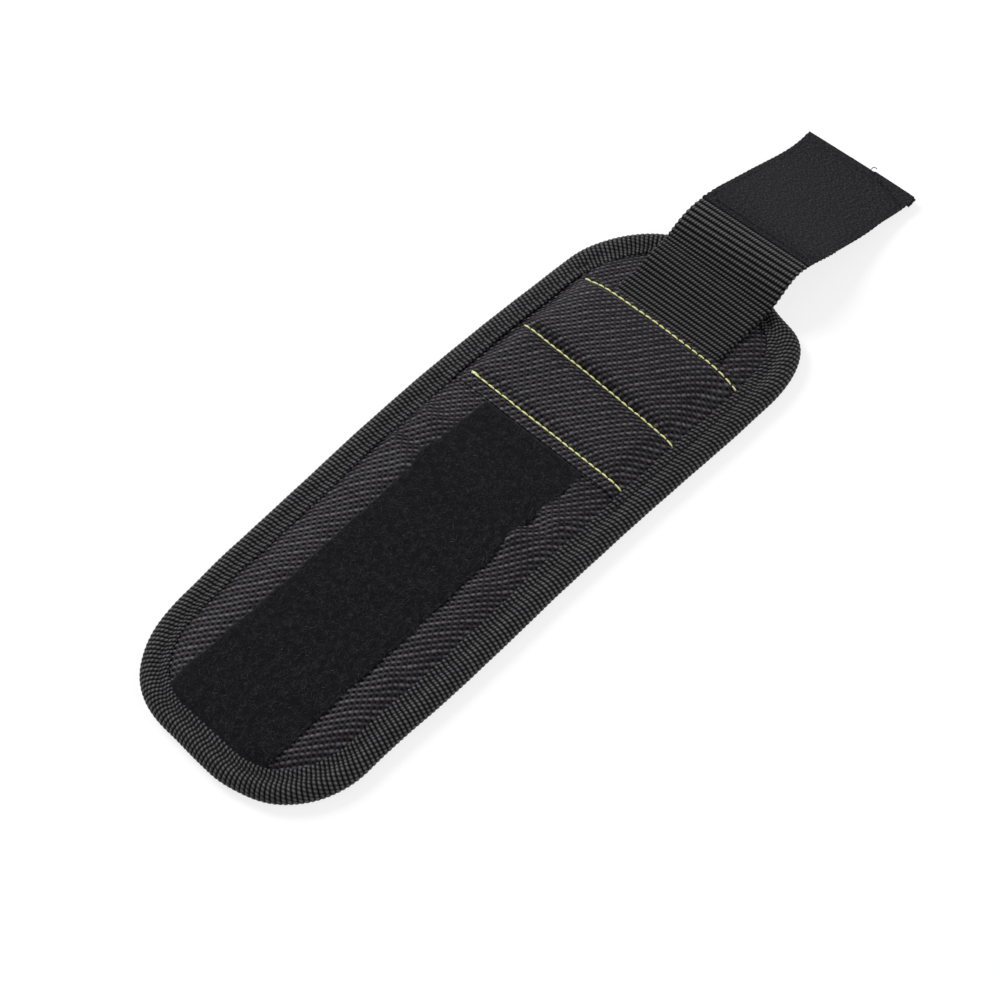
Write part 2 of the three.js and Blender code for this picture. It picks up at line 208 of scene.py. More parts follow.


# Back lining: a soft knit next to the wrist, cut to the band's rounded outline and held under the binding.
# The band's layers are made in six spans, each listed with two bodies and a fold line, and the cuts
# between them run in the gaps between the front cloth's yarns.
HALF_LENGTH = 100.0
HALF_WIDTH = 37.5
CORNER = 29.5
YARN_X = 1.18
YARN_Y = 0.975
CUTS = [-101.0, -44.5 * YARN_X, -19.5 * YARN_X, 5.5 * YARN_X, 26.5 * YARN_X, 49.5 * YARN_X, 101.0]
SPANS = [
    ("free_end", "free_end", "wrist_1", -83, -53),
    ("wrist_1", "wrist_1", "wrist_2", -53, -23),
    ("wrist_2", "wrist_2", "middle", -23, 7),
    ("middle", "middle", "lower_channel", 7, 27),
    ("channels", "lower_channel", "upper_channel", 37.2, 47.2),
    ("strap_end", "upper_channel", "strap_end", 72, 82),
]
NODES_OF_SPAN = [[1], [2], [3], [4], [5], [6, 7]]
LINING_INSET = 1.3
LINING_REACH = 98.8
LINING_THICKNESS = 0.6
WALE = 1.8


def ease(share):
    """(1 - cos(pi share)) / 2, with share held between 0 and 1."""
    return (1 - np.cos(np.pi * np.clip(share, 0, 1))) / 2


def spaced(start, end, step):
    """Evenly spaced places from start to end, at most step apart."""
    return np.linspace(start, end, int(np.ceil((end - start) / step)) + 1)


def grid(rows, columns):
    """The two values at every crossing of rows and columns."""
    return np.meshgrid(rows, columns, indexing="ij")


def inset_of(x, y):
    """How far a point is inside the rounded outline: the corner radius less the distance from the inner
    box."""
    over_x = np.abs(x) - (HALF_LENGTH - CORNER)
    over_y = np.abs(y) - (HALF_WIDTH - CORNER)
    outside = np.hypot(np.maximum(over_x, 0), np.maximum(over_y, 0))
    return CORNER - outside - np.minimum(np.maximum(over_x, over_y), 0)


def half_width_at(x, inset):
    """Half the outline's width at x, for an outline drawn inset further in."""
    over_x = np.maximum(np.abs(x) - (HALF_LENGTH - CORNER), 0)
    radius = CORNER - inset
    return HALF_WIDTH - CORNER + np.sqrt(np.maximum(radius**2 - over_x**2, 0))


def hand_sewn(points):
    """Moves the band's points a little, as sewing has: each entry moves them by (move_x, move_y) at (x, y),
    and the move fades as exp(-r^2), r being the distance over the reach."""
    x, y = points[..., 0], points[..., 1]
    moved = points.copy()
    for at_x, at_y, reach_x, reach_y, move_x, move_y in (
        (20, 38, 42, 30, 0.0, 1.6),
        (-62, 38, 30, 30, 0.0, -0.5),
        (-94, 20, 14, 16, -1.1, 0.4),
        (84, 34, 16, 12, -0.2, -0.6),
        (5, -38, 55, 30, 0.0, 1.3),
        (99, -16, 9, 9, -2.0, 0.0),
        (92, -31, 14, 12, 2.0, -1.0),
        (96, -24, 8, 8, -1.6, 1.1),
        (0, 38, 58, 20, 0.0, 1.0),
        (-76, 38, 13, 12, 0.2, -1.3),
        (-68, -38, 20, 13, 0.2, 1.1),
        (55, -38, 15, 20, 0.0, -0.4),
        (-101, 10, 9, 12, 1.0, 0.0),
        (-101, -17, 9, 10, 0.8, 0.0),
    ):
        near = np.exp(-(((x - at_x) / reach_x) ** 2) - ((y - at_y) / reach_y) ** 2)
        moved[..., 0] += move_x * near
        moved[..., 1] += move_y * near
    return moved


def flat_uv(x, y):
    """The cloth map of a sheet that isn't drawn out of square: the place itself."""
    return np.stack([x, y], -1)


def on_band(x, y, level):
    """Points of the band at a height over the table, moved as sewing has moved them."""
    return hand_sewn(np.stack([x, y, level], -1))


def slab(name, top, bottom, material, keep=None, uv=None, relief=None):
    """A closed sheet between two grids of points (rows, columns, 3), with walls round every kept cell that
    has no kept neighbour. The third axis points up where rows run along X and columns along Y."""
    rows, columns = top.shape[:2]
    count = rows * columns
    number = np.arange(count).reshape(rows, columns)
    keep = np.ones((rows - 1, columns - 1), bool) if keep is None else keep
    a, b, c, d = number[:-1, :-1], number[1:, :-1], number[1:, 1:], number[:-1, 1:]
    upper = np.stack([a[keep], b[keep], c[keep], d[keep]], -1)
    lower = np.stack([a[keep], d[keep], c[keep], b[keep]], -1) + count
    edge = np.pad(keep, 1)
    walls = []
    for start, end, beside in (
        (a, d, edge[:-2, 1:-1]),
        (c, b, edge[2:, 1:-1]),
        (b, a, edge[1:-1, :-2]),
        (d, c, edge[1:-1, 2:]),
    ):
        bare = keep & ~beside
        walls.append(np.stack([start[bare], end[bare], end[bare] + count, start[bare] + count], -1))
    points = np.concatenate([top.reshape(-1, 3), bottom.reshape(-1, 3)])
    both_uv = None if uv is None else np.concatenate([uv.reshape(-1, 2)] * 2)
    both_relief = None if relief is None else np.concatenate([relief.ravel()] * 2)
    faces = [upper, lower, np.concatenate(walls)]
    return mesh_object(name, points, faces, material, both_uv, both_relief, flat=(2,))


def bend_between(piece, before, after, start, end):
    """Bakes the piece's placement into its mesh; it does not blend it. before, after, start and end are not
    used.
    """
    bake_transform(piece)


def ends_of(span, reach):
    """Where a span starts and ends, for a layer that reaches so far from the band's middle."""
    return max(CUTS[span], -reach), min(CUTS[span + 1], reach)


def bend_with_span(piece, span):
    """Hands a piece of one span, with that span's two bodies and fold line, to bend_between, which only bakes
    its placement.
    """
    bend_between(piece, *SPANS[span][1:])


def stand_for(stem, span):
    """Says which of the frame's solids a piece of one span replaces: the stem with the span's numbers."""
    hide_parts(*[f"{stem}_{number}" for number in NODES_OF_SPAN[span]])


def cloth_top(x, y):
    """Height of the front cloth's face over the table: low where it is sewn to the binding, 5.6 over the
    pad."""
    inset = inset_of(x, y)
    return 3.6 + 0.7 * ease((inset - 5.5) / 2) + 1.3 * ease((inset - 6.8) / 4.6)


def lining_bottom(x, y):
    """1.0 where the lining lies on the binding's lower leg, easing to 0 on the table."""
    return 1 - ease((inset_of(x, y) - 8.3) / 3)


def texture_uv(tree):
    """The piece's own cloth map, in centimetres."""
    return node(tree, "UVMap", {"uv_map": "cloth_mm"}).outputs[0]


def stretched(tree, source, scale):
    """The source vector times scale on each axis."""
    return node(tree, "Mapping", Vector=source, Scale=scale).outputs[0]


def noise(tree, vector, scale, detail, roughness=0.5):
    """A noise over a vector socket, from 0 to 1."""
    return node(tree, "TexNoise", Vector=vector, Scale=scale, Detail=detail, Roughness=roughness).outputs[0]


def cells(tree, vector, scale):
    """The distance to the middle of the nearest cell of a cell pattern over a vector socket."""
    return node(tree, "TexVoronoi", {"feature": "F1"}, Vector=vector, Scale=scale).outputs["Distance"]


def bumped(tree, shader, height, strength, depth):
    """Gives the shader a bump from a height socket. depth is in millimetres."""
    bump = node(tree, "Bump", Strength=strength, Distance=depth * MM, Height=height)
    tree.links.new(bump.outputs[0], shader.inputs["Normal"])


def tinted(tree, shader, factor, stops):
    """Base colour from a ramp of (position, colour) stops over a factor socket."""
    ramp = node(tree, "ValToRGB", Fac=factor)
    elements = ramp.color_ramp.elements
    while len(elements) < len(stops):
        elements.new(0.5)
    for element, (position, color) in zip(elements, stops):
        element.position = position
        element.color = (*color, 1)
    tree.links.new(ramp.outputs[0], shader.inputs["Base Color"])


lining_knit, tree, shader = new_material("lining_knit", (0.012, 0.012, 0.0125), 0.9, Sheen_Weight=0.15)
uv = texture_uv(tree)
loops = cells(tree, stretched(tree, uv, (1.6, 1, 1)), 11.0)
# The tone paints shade between the knit's loops: darker away from each loop's middle, where the bump sinks;
# the noise varies it at random.
tone = math(tree, "MULTIPLY", loops, noise(tree, uv, 6.0, 4.0))
tinted(tree, shader, tone, [(0.0, (0.026, 0.026, 0.028)), (0.4, (0.008, 0.008, 0.009))])
bumped(tree, shader, loops, 0.5, -0.25)

for span, (span_name, *_) in enumerate(SPANS):
    start, end = ends_of(span, LINING_REACH)
    rows = spaced(start, end, 0.9)
    x, t = grid(rows, np.linspace(-1, 1, 84))
    y = t * half_width_at(x, LINING_INSET)
    low = lining_bottom(x, y)
    over = on_band(x, y, low + LINING_THICKNESS)
    under = on_band(x, y, low + 0.05 + 0.05 * np.cos(2 * np.pi * y / WALE))
    lining = slab(f"lining_{span_name}", over, under, lining_knit, uv=flat_uv(x, y))
    stand_for("back_lining", span)
    bend_with_span(lining, span)


# Foam pad: a sheet of soft open foam, cut to the outline a little inside the binding and laid on the lining.
# It gives the band its crown, and keeps a small gap to the cloths on both sides.
FOAM_INSET = 3.2
FOAM_REACH = 97.0
FOAM_GAP = 0.75
pad_foam, tree, shader = new_material("pad_foam", (0.03, 0.03, 0.034), 0.95)
bubbles = cells(tree, texture_uv(tree), 18.0)
# The ramp paints shade into the foam's pores: darker at each cell's middle, where the bump sinks.
tinted(tree, shader, bubbles, [(0.0, (0.012, 0.012, 0.014)), (0.6, (0.05, 0.05, 0.055))])
bumped(tree, shader, bubbles, 0.6, 0.3)

for span, (span_name, *_) in enumerate(SPANS):
    x, t = grid(spaced(*ends_of(span, FOAM_REACH), 1.5), np.sin(np.linspace(-np.pi / 2, np.pi / 2, 45)))
    y = t * half_width_at(x, FOAM_INSET)
    low = lining_bottom(x, y) + FOAM_GAP
    high = np.maximum(cloth_top(x, y) - FOAM_GAP, low + 0.4)
    middle = (low + high) / 2
    thick = 0.5 + 0.5 * ease((inset_of(x, y) - FOAM_INSET) / 2)
    over = on_band(x, y, middle + (high - middle) * thick)
    under = on_band(x, y, middle + (low - middle) * thick)
    foam = slab(f"foam_{span_name}", over, under, pad_foam, uv=flat_uv(x, y))
    stand_for("foam_pad", span)
    bend_with_span(foam, span)


# Front cloth: basket-woven nylon over the foam. It is sewn down along the binding, the patch and the panel,
# so it swells between those rows of stitches.
FRONT_INSET = 5.6
FRONT_THICKNESS = 0.9


def basket_weave(x, y):
    """Height of the weave under its highest point, and its tone, which is painted shade: from 0 in the gaps,
    darker on the yarns' flanks and where they dip, to 1 on the bright yarns.

    The yarn along X at row j rises and falls as cos(pi x / YARN_X) times (-1)^j and swerves sideways as the
    sine of the same angle, so that its floats lean and join the next row's. The yarn along Y goes the other
    way, straight. Each has a round back, and the face is the higher of the two. Those along X are painted
    lighter, a painted sheen, and shine more; their tone also varies at random from place to place.
    """
    nearest, column = np.round(y / YARN_Y), np.round(x / YARN_X)
    along_x, shading_x = np.full_like(x, -1.0), np.zeros_like(x)
    for row in (nearest - 1, nearest, nearest + 1):
        side = np.where(row % 2 == 0, 1, -1)
        float_up = np.cos(np.pi * x / YARN_X) * side
        from_middle = y / YARN_Y - row + 0.24 * np.sin(np.pi * x / YARN_X) * side
        back = np.sqrt(np.clip(1 - (1.8 * from_middle) ** 2, 0, 1))
        height = 0.24 * float_up + 0.22 * back - 0.5 * (back == 0)
        shading_x = np.where(height > along_x, back * (0.56 + 0.44 * float_up), shading_x)
        along_x = np.maximum(along_x, height)
    float_up = -np.cos(np.pi * y / YARN_Y) * np.where(column % 2 == 0, 1, -1)
    back = np.sqrt(np.clip(1 - (2.1 * (x / YARN_X - column)) ** 2, 0, 1))
    along_y, shading_y = 0.2 * float_up + 0.2 * back, 0.42 * back * (0.56 + 0.44 * float_up)
    uneven = 0.86 + 0.28 * np.sin(12.9 * column + 78.2 * nearest) * np.sin(39.3 * nearest + 4.1 * column)
    height = np.maximum(np.maximum(along_x, along_y), -0.12)
    return height - 0.46, np.where(along_x > along_y, shading_x * uneven, shading_y)


def drawn_askew(x, y):
    """Where the cloth's point x, y comes to lie: pulled up to 0.8 out of square each way by slow waves."""
    aside = 0.9 * np.sin(x / 9.5 + y / 21 + 0.6) + 0.5 * np.sin(x / 5.3 - y / 13)
    along = 0.9 * np.sin(y / 7.5 + x / 26) + 0.5 * np.sin(y / 4.6 - x / 17 + 2)
    return x + 0.6 * along, y + 0.6 * aside


def cloth_swell(xs, ys, rest, held, push, slack, stiffness):
    """Swells a held sheet of cloth with Blender's cloth simulation, ten times life size, and returns a
    function of x and y: how far the settled sheet stands over its rest height, by a cubic B-spline."""
    larger, last_step = 10, 16
    x, y = grid(xs, ys)
    points = np.stack([x, y, rest(x, y)], -1).reshape(-1, 3)
    number = np.arange(x.size).reshape(x.shape)
    squares = np.stack([number[:-1, :-1], number[1:, :-1], number[1:, 1:], number[:-1, 1:]], -1)
    sheet = mesh_object("swelling_sheet", points * larger, [squares.reshape(-1, 4)], table_white)
    pins = sheet.vertex_groups.new(name="sewn_down")
    pins.add(np.nonzero(held(x, y).ravel())[0].tolist(), 1.0, "REPLACE")
    cloth = sheet.modifiers.new("cloth", "CLOTH")
    cloth.settings.quality = 6
    cloth.settings.mass = 0.3
    for kind, amount in (("tension", 20), ("compression", 20), ("shear", 8), ("bending", stiffness)):
        setattr(cloth.settings, kind + "_stiffness", amount)
    cloth.settings.air_damping = 4
    cloth.settings.vertex_group_mass = pins.name
    cloth.settings.shrink_min = -slack
    cloth.settings.use_pressure = True
    cloth.settings.uniform_pressure_force = push
    cloth.settings.effector_weights.gravity = 0
    cloth.point_cache.frame_end = last_step
    for step in range(1, last_step + 1):
        scene.frame_set(step)
    settled = sheet.evaluated_get(bpy.context.evaluated_depsgraph_get()).data
    places = np.zeros(x.size * 3, np.float32)
    settled.vertices.foreach_get("co", places)
    rise = places.reshape(*x.shape, 3)[..., 2] / MM / larger - rest(x, y)
    bpy.data.objects.remove(sheet)
    scene.frame_set(1)
    step_x, step_y = xs[1] - xs[0], ys[1] - ys[0]

    def swell(px, py):
        """Sum over the 16 nearest grid values of the cubic B-spline weights in x and y."""
        gx, gy = (px - xs[0]) / step_x, (py - ys[0]) / step_y
        ix, iy = np.floor(gx).astype(int), np.floor(gy).astype(int)
        weights = []
        for t in (gx - ix, gy - iy):
            inner = [(3 * t**3 - 6 * t**2 + 4) / 6, (-3 * t**3 + 3 * t**2 + 3 * t + 1) / 6]
            weights.append([(1 - t) ** 3 / 6, *inner, t**3 / 6])
        total = np.zeros_like(px)
        for i in range(4):
            for j in range(4):
                row = np.clip(ix + i - 1, 0, len(xs) - 1)
                column = np.clip(iy + j - 1, 0, len(ys) - 1)
                total += weights[0][i] * weights[1][j] * rise[row, column]
        return total

    return swell


def sewn_front(x, y):
    """Where the front cloth is held: under the binding, under the patch and under the panel."""
    under_patch = (np.abs(y + 0.5) < 18.4) & (x < 23)
    return (inset_of(x, y) < 8.4) | under_patch | ((x > 21.5) & (x < 72))


rows, columns = np.linspace(-98, 98, 99), np.linspace(-36, 36, 37)
front_swell = cloth_swell(rows, columns, cloth_top, sewn_front, push=12, slack=0.0015, stiffness=4)


def soft_noise(x, y, size, seed):
    """Smooth noise between about -1 and 1: nine sine waves of random direction and wavelength near size."""
    random = np.random.default_rng(seed)
    total = np.zeros_like(x)
    turns, phases, stretches = [random.uniform(*limits, 9) for limits in ((0, np.pi), (0, 6.28), (0.7, 1.6))]
    for turn, phase, stretch in zip(turns, phases, stretches):
        total += np.sin(2 * np.pi * (x * np.cos(turn) + y * np.sin(turn)) / (size * stretch) + phase)
    return total / 4


def hill(place, middle, reach):
    """exp(-((place - middle) / reach)^2): 1 at the middle, dying away on both sides."""
    return np.exp(-(((place - middle) / reach) ** 2))


def front_face(x, y):
    """The front cloth's smooth face: its rest height, its swell, a crease across the band near the middle
    with a ridge on either side, and soft wrinkles, rounded above and flat below. The crease and the wrinkles
    die away under the patch and the binding."""
    field = ease((np.abs(y) - 14.5) / 4.5) * ease((30.5 - np.abs(y)) / 4)
    from_crease = x - 1.3 + 0.06 * y
    ridges = 1.5 * hill(from_crease, 0, 9) * (1 - hill(from_crease, 0, 3))
    wrinkles = (0.45 + 0.75 * hill(x, 4, 14)) * soft_noise(x, 0.6 * y, 10, 41)
    raised = np.log1p(np.exp(5 * wrinkles)) / 5 - 0.2
    return cloth_top(x, y) + front_swell(x, y) + field * (ridges + raised)


def relief_of(tree):
    """The relief stored in the mesh, from 0 in its gaps to 1 on its highest yarns or ribs; where it sets a
    colour, the dark gaps are painted shade.
    """
    return node(tree, "Attribute", {"attribute_name": "relief"}).outputs["Fac"]


def shiny(tree, shader, height, shine):
    """Makes the shader shine by a height socket times shine."""
    tree.links.new(math(tree, "MULTIPLY", height, shine), shader.inputs["Specular IOR Level"])


def steps_of(pitch, parts, start, end):
    """Places from start to end, as many parts to each pitch, one of them at 0."""
    return np.arange(round(start / (pitch / parts)), round(end / (pitch / parts)) + 1) * pitch / parts


nylon_cloth, tree, shader = new_material("nylon_cloth", (0.02, 0.018, 0.023), 0.36)
uv = texture_uv(tree)
relief = relief_of(tree)
patchy_tone = math(tree, "MULTIPLY_ADD", noise(tree, uv, 2.2, 5.0), 0.5, 0.75)
stops = [(0.04, (0.001, 0.001, 0.0012)), (0.4, (0.0126, 0.0115, 0.0137)), (1.0, (0.13, 0.119, 0.137))]
# The ramp over relief paints shade into the weave's gaps and onto the yarns' flanks, and a painted sheen onto
# the X yarns; the slow noise varies the tone at random.
tinted(tree, shader, math(tree, "MULTIPLY", relief, patchy_tone), stops)
bumped(tree, shader, noise(tree, stretched(tree, uv, (6, 60, 1)), 1.6, 3.0), 0.35, 0.08)
shiny(tree, shader, relief, 0.22)

# The weave is fine where it shows, and coarse under the panel and the patch.
fine = steps_of(YARN_X, 4, -96, 96)
seen_rows = fine[(fine < 23) | (fine > 70)]
rows = np.unique(np.round(np.concatenate([seen_rows, np.arange(24.5, 69, 1.5), CUTS[1:-1]]), 6))
fine = steps_of(YARN_Y, 4, -33, 33)
columns = np.unique(np.concatenate([fine[np.abs(fine) > 15.5], np.arange(-15, 16, 1.5)]))
x, y = grid(rows, columns)
# The weave's tone, stored as relief for the cloth's colour, is painted shade in its gaps and a painted sheen
# on the X yarns.
weave, weave_tone_with_painted_shade = basket_weave(x, y)
lies_x, lies_y = drawn_askew(x, y)
face = front_face(lies_x, lies_y)
over = on_band(lies_x, lies_y, face + weave)
under = on_band(lies_x, lies_y, face - FRONT_THICKNESS)
cloth_uv = flat_uv(x, y)
middle_x, middle_y = (lies_x[1:, 1:] + lies_x[:-1, :-1]) / 2, (lies_y[1:, 1:] + lies_y[:-1, :-1]) / 2
within = inset_of(middle_x, middle_y) > FRONT_INSET
for span, (span_name, *_) in enumerate(SPANS):
    own = np.nonzero((rows > CUTS[span] - 0.01) & (rows < CUTS[span + 1] + 0.01))[0]
    own, kept = slice(own[0], own[-1] + 1), slice(own[0], own[-1])
    front = slab(
        f"front_{span_name}", over[own], under[own], nylon_cloth, within[kept], cloth_uv[own], weave_tone_with_painted_shade[own]
    )
    stand_for("front_cloth", span)
    start, end = ends_of(span, HALF_LENGTH - FRONT_INSET)
    bend_with_span(front, span)


# Loop patch: black pile tape, sewn flat over the front from the free end's binding to the panel's lower hem.
# Its cut edges are a little wavy, and lint sits in its loops.
PATCH_START = -92.5
PATCH_END = 21.8
PATCH_WIDTH = 36
PATCH_MIDDLE = -0.5


def patch_face(x, y):
    """The pile's smooth top: 0.9 over the cloth, thinning to 0.3 where it goes under the binding."""
    thick = 0.3 + 0.6 * ease((inset_of(x, y) - 8) / 3)
    hump = 0.35 * hill(x - 0.12 * y, -2, 6)
    return cloth_top(x, y) + thick + hump + 0.1 * soft_noise(x, y, 14, 3)


loop_pile, tree, shader = new_material(
    "loop_pile", (0.011, 0.011, 0.0135), 0.95, Specular_IOR_Level=0.1, Sheen_Weight=0.06
)
uv = texture_uv(tree)
pile = noise(tree, uv, 26.0, 6.0, 0.75)
tone = math(tree, "MULTIPLY_ADD", noise(tree, uv, 5.0, 4.0, 0.6), 0.45, pile)
stops = [(0.57, (0.001, 0.001, 0.0015)), (0.75, (0.0042, 0.0042, 0.0062)), (0.93, (0.044, 0.044, 0.056))]
tinted(tree, shader, tone, stops)
bumped(tree, shader, pile, 1.0, 0.4)


def fibre_material(name, color, roughness, stops, stretch=(1, 1, 1), shine=0.5, strands=0):
    """A material for hairs and threads: streaks over the ramp's stops, drawn out by stretch, with as much
    bump as strands says."""
    material, tree, shader = new_material(name, color, roughness, Specular_IOR_Level=shine)
    streaks = noise(tree, stretched(tree, texture_uv(tree), stretch), 1.0, 2.0)
    tinted(tree, shader, streaks, stops)
    if strands:
        bumped(tree, shader, streaks, strands, 0.05)
    return material


pile_hair = fibre_material(
    "pile_hair", (0.016, 0.016, 0.02), 0.8, [(0.35, (0.003, 0.003, 0.004)), (0.7, (0.04, 0.04, 0.05))]
)
lint_grey = fibre_material(
    "lint_grey", (0.09, 0.09, 0.1), 0.9, [(0.3, (0.05, 0.05, 0.055)), (0.7, (0.14, 0.14, 0.15))]
)


def tube_walls(number):
    """The wall faces of tubes whose points are numbered by tube, ring along it and place round the ring."""
    turn_on = np.roll(number, -1, axis=2)
    return np.stack([number[:, :-1], number[:, 1:], turn_on[:, 1:], turn_on[:, :-1]], -1)


def fibres(name, roots, turns, lengths, radius, material):
    """Short hairs lying on a face: each passes over its root at a heading, arching up by 0.16 of its length
    and turning by up to 1.5 radians, as a three-sided tube of six rings, closed at both ends."""
    count = len(roots)
    along = np.linspace(0, 1, 6)
    bend = np.random.default_rng(5).uniform(-1.5, 1.5, count)
    angle = turns[:, None] + bend[:, None] * (along - 0.5)
    step = lengths[:, None] * (along - 0.5)
    arch = (0.16 * lengths)[:, None] * np.sin(np.pi * along)
    line = roots[:, None] + np.stack([step * np.cos(angle), step * np.sin(angle), arch], -1)
    side = np.stack([-np.sin(angle), np.cos(angle), np.zeros_like(angle)], -1)
    wide = (radius * np.sin(np.pi * (0.08 + 0.84 * along)))[:, None, None]
    around = (np.arange(3) * 2 * np.pi / 3)[:, None]
    ring = line[:, :, None] + wide * (np.cos(around) * side[:, :, None] + np.sin(around) * [0.0, 0.0, 1.0])
    number = np.arange(count * 18).reshape(count, 6, 3)
    ends = np.concatenate([number[:, 0], number[:, -1, ::-1]])
    uv = np.broadcast_arrays(7.3 * np.arange(count)[:, None, None], 4 * along[:, None], number)[:2]
    faces = [tube_walls(number).reshape(-1, 4), ends]
    return mesh_object(name, ring.reshape(-1, 3), faces, material, np.stack(uv, -1).reshape(-1, 2))


def patch_edge(x, side):
    """Where the cut edge lies across the band: half the patch's width from its middle line, with three sine
    waves and the crease's pull."""
    wave = 0.12 * np.sin(x / 6.1 + side) + 0.12 * np.sin(x / 2.2 + 2 * side) + 0.06 * np.sin(x / 0.9)
    return PATCH_MIDDLE + side * PATCH_WIDTH / 2 + wave + 1.3 * hill(x, -2, 6)


def round_edge(distance, radius):
    """How far a round edge is below its flat face, as a share of its height: 1 at the rim, and 0 from radius
    inwards."""
    return 1 - np.sqrt(np.clip(1 - (1 - np.clip(distance / radius, 0, 1)) ** 2, 0, 1))


random = np.random.default_rng(11)
for span in range(4):
    span_name = SPANS[span][0]
    start, end = max(CUTS[span], PATCH_START), min(CUTS[span + 1], PATCH_END)
    share = np.concatenate([[0, 0.004, 0.012], np.linspace(0.022, 0.978, 78), [0.988, 0.996, 1]])
    x, t = grid(spaced(start, end, 0.45), share)
    y = patch_edge(x, -1) + t * (patch_edge(x, 1) - patch_edge(x, -1))
    y = np.clip(y, -half_width_at(x, 7.2), half_width_at(x, 7.2))
    from_edge = np.minimum(np.minimum(t, 1 - t) * PATCH_WIDTH, PATCH_END - x)
    roll_off = round_edge(from_edge, 1.3)
    grain = 0.07 * soft_noise(x, y, 1.3, 7) + 0.05 * soft_noise(x, y, 0.9, 8)
    face = patch_face(x, y) + grain * (1 - roll_off)
    floor = np.minimum(cloth_top(x, y) + 0.05, face - 0.2)
    over = on_band(x, y, face - roll_off * (face - floor) * 0.75)
    patch = slab(f"patch_{span_name}", over, on_band(x, y, floor), loop_pile, uv=flat_uv(x, y))
    stand_for("loop_patch", span)
    bend_with_span(patch, span)
    for kind, per_area, shortest, longest, radius, material in (
        ("loops", 0.9, 0.7, 2.2, 0.048, pile_hair),
        ("lint", 0.03, 0.6, 1.3, 0.05, lint_grey),
    ):
        count = int((end - start) * 35 * per_area)
        root_x = random.uniform(start + 0.3, end - 0.3, count)
        root_y = random.uniform(patch_edge(root_x, -1) + 0.5, patch_edge(root_x, 1) - 0.5)
        clear = inset_of(root_x, root_y) > 9
        roots = on_band(root_x, root_y, patch_face(root_x, root_y) - 0.02)[clear]
        turns = random.uniform(0, 2 * np.pi, len(roots))
        if kind == "loops":
            # The cut edges are fuzzy: more hairs stick out over them on both sides.
            side = np.where(np.arange(int((end - start) * 7)) % 2 == 0, -1, 1)
            root_x = random.uniform(start + 0.3, end - 0.3, len(side))
            root_y = patch_edge(root_x, side) - 0.25 * side
            clear = inset_of(root_x, root_y) > 9
            edge_roots = on_band(root_x, root_y, patch_face(root_x, root_y) - 0.3)[clear]
            roots = np.concatenate([roots, edge_roots])
            turns = np.concatenate([turns, np.pi / 2 + random.uniform(-0.9, 0.9, len(edge_roots))])
        lengths = random.uniform(shortest, longest, len(roots))
        hairs = fibres(f"patch_{kind}_{span_name}", roots, turns, lengths, radius, material)
        bend_with_span(hairs, span)


# Magnet bars: one plated magnet bar lies loose in each closed channel, under the panel, where nothing shows
# of it. They are the frame's own solids, with a brushed metal finish.
plated_steel, tree, shader = new_material("plated_steel", (0.42, 0.43, 0.45), 0.32, Metallic=1.0)
place = node(tree, "TexCoord").outputs["Object"]
brushing = noise(tree, stretched(tree, place, (3000, 150, 3000)), 1.0, 3.0)
tinted(tree, shader, brushing, [(0.3, (0.34, 0.35, 0.37)), (0.7, (0.5, 0.51, 0.53))])
bumped(tree, shader, brushing, 0.15, 0.03)
for bar_name in ("magnet_lower", "magnet_upper"):
    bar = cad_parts[bar_name]
    bar.data.materials.clear()
    bar.data.materials.append(plated_steel)


# Stitched panel: a second piece of the nylon, laid across the band over the magnets and sewn down by three
# yellow rows, with a folded hem at each end. Its sides go under the binding.
PANEL_START = 22.0
PANEL_END = 71.5
PANEL_HALF = 31.0
MIDDLE_SEAM = 44.25


def seam_x(seam, y):
    """Where a yellow seam runs: nearly straight at 25, slanted by 1.5 over the width at 44.25, and bowed by
    1.5 at 68.5."""
    return [25.2 + 0.011 * y, MIDDLE_SEAM + 1.5 * y / 75, 68.5 + 1.5 * np.cos(np.pi * y / 75)][seam]


def from_seam(x, y):
    """The distance to the nearest of the three seams."""
    return np.min([np.abs(x - seam_x(seam, y)) for seam in range(3)], axis=0)


def panel_rest(x, y):
    """The panel's underside with no air in it: on the cloth, or over the webbing's root."""
    along = ease((x - 53.5) / 7.5)
    across = ease((27.5 - np.abs(y + 0.75)) / 8.2)
    return cloth_top(x, y) + 0.12 + 1.55 * along * across


def held_panel(x, y):
    """Where the panel is held: at its seams, at its hems and under the binding."""
    return (from_seam(x, y) < 0.65) | (np.abs(y) > 28.9) | (x < 23.2) | (x > 70.8)


rows, columns = np.linspace(PANEL_START, PANEL_END, 46), np.linspace(-29.6, 29.6, 54)
panel_swell = cloth_swell(rows, columns, panel_rest, held_panel, push=12, slack=0.003, stiffness=7)


def panel_bottom(x, y):
    """The panel's smooth underside: its rest height, a rise of 1.9 over the magnets that falls away to each
    seam and each side, 0.8 of the simulated swell with its wrinkles, and puckers of one stitch length that
    die away as exp(-distance / 1.4) from each seam."""
    in_channel = (x > seam_x(0, y)) & (x < seam_x(2, y))
    rise = 1.9 * np.sin(np.pi / 2 * np.clip(from_seam(x, y) / 3.9, 0, 1)) * ease((29.2 - np.abs(y)) / 6)
    pucker = 0.1 * np.sin(2 * np.pi * y / 2.5) * np.exp(-from_seam(x, y) / 1.4) * (from_seam(x, y) > 0.3)
    return panel_rest(x, y) + np.where(in_channel, rise, 0) + 0.8 * panel_swell(x, y) + pucker


def panel_top(x, y):
    """The panel's smooth face: 0.6 over its underside, 0.45 more over the folded hems, which thin towards
    their folds, and sunk by 0.28 along the seams."""
    hem = 0.45 * (ease((PANEL_START + 4.4 - x) / 0.5) + ease((x - PANEL_END + 4.4) / 0.5))
    hem = hem - 0.45 * ease((PANEL_START + 2.6 - x) / 2.6) - 0.3 * ease((x - PANEL_END + 1.8) / 1.8)
    sunk = 0.28 * hill(from_seam(x, y), 0, 0.65)
    squeezed = 0.2 * ease((28.5 - np.abs(y)) / 2)
    return panel_bottom(x, y) + 0.4 + squeezed + hem * ease((29.4 - np.abs(y)) / 1.5) - sunk


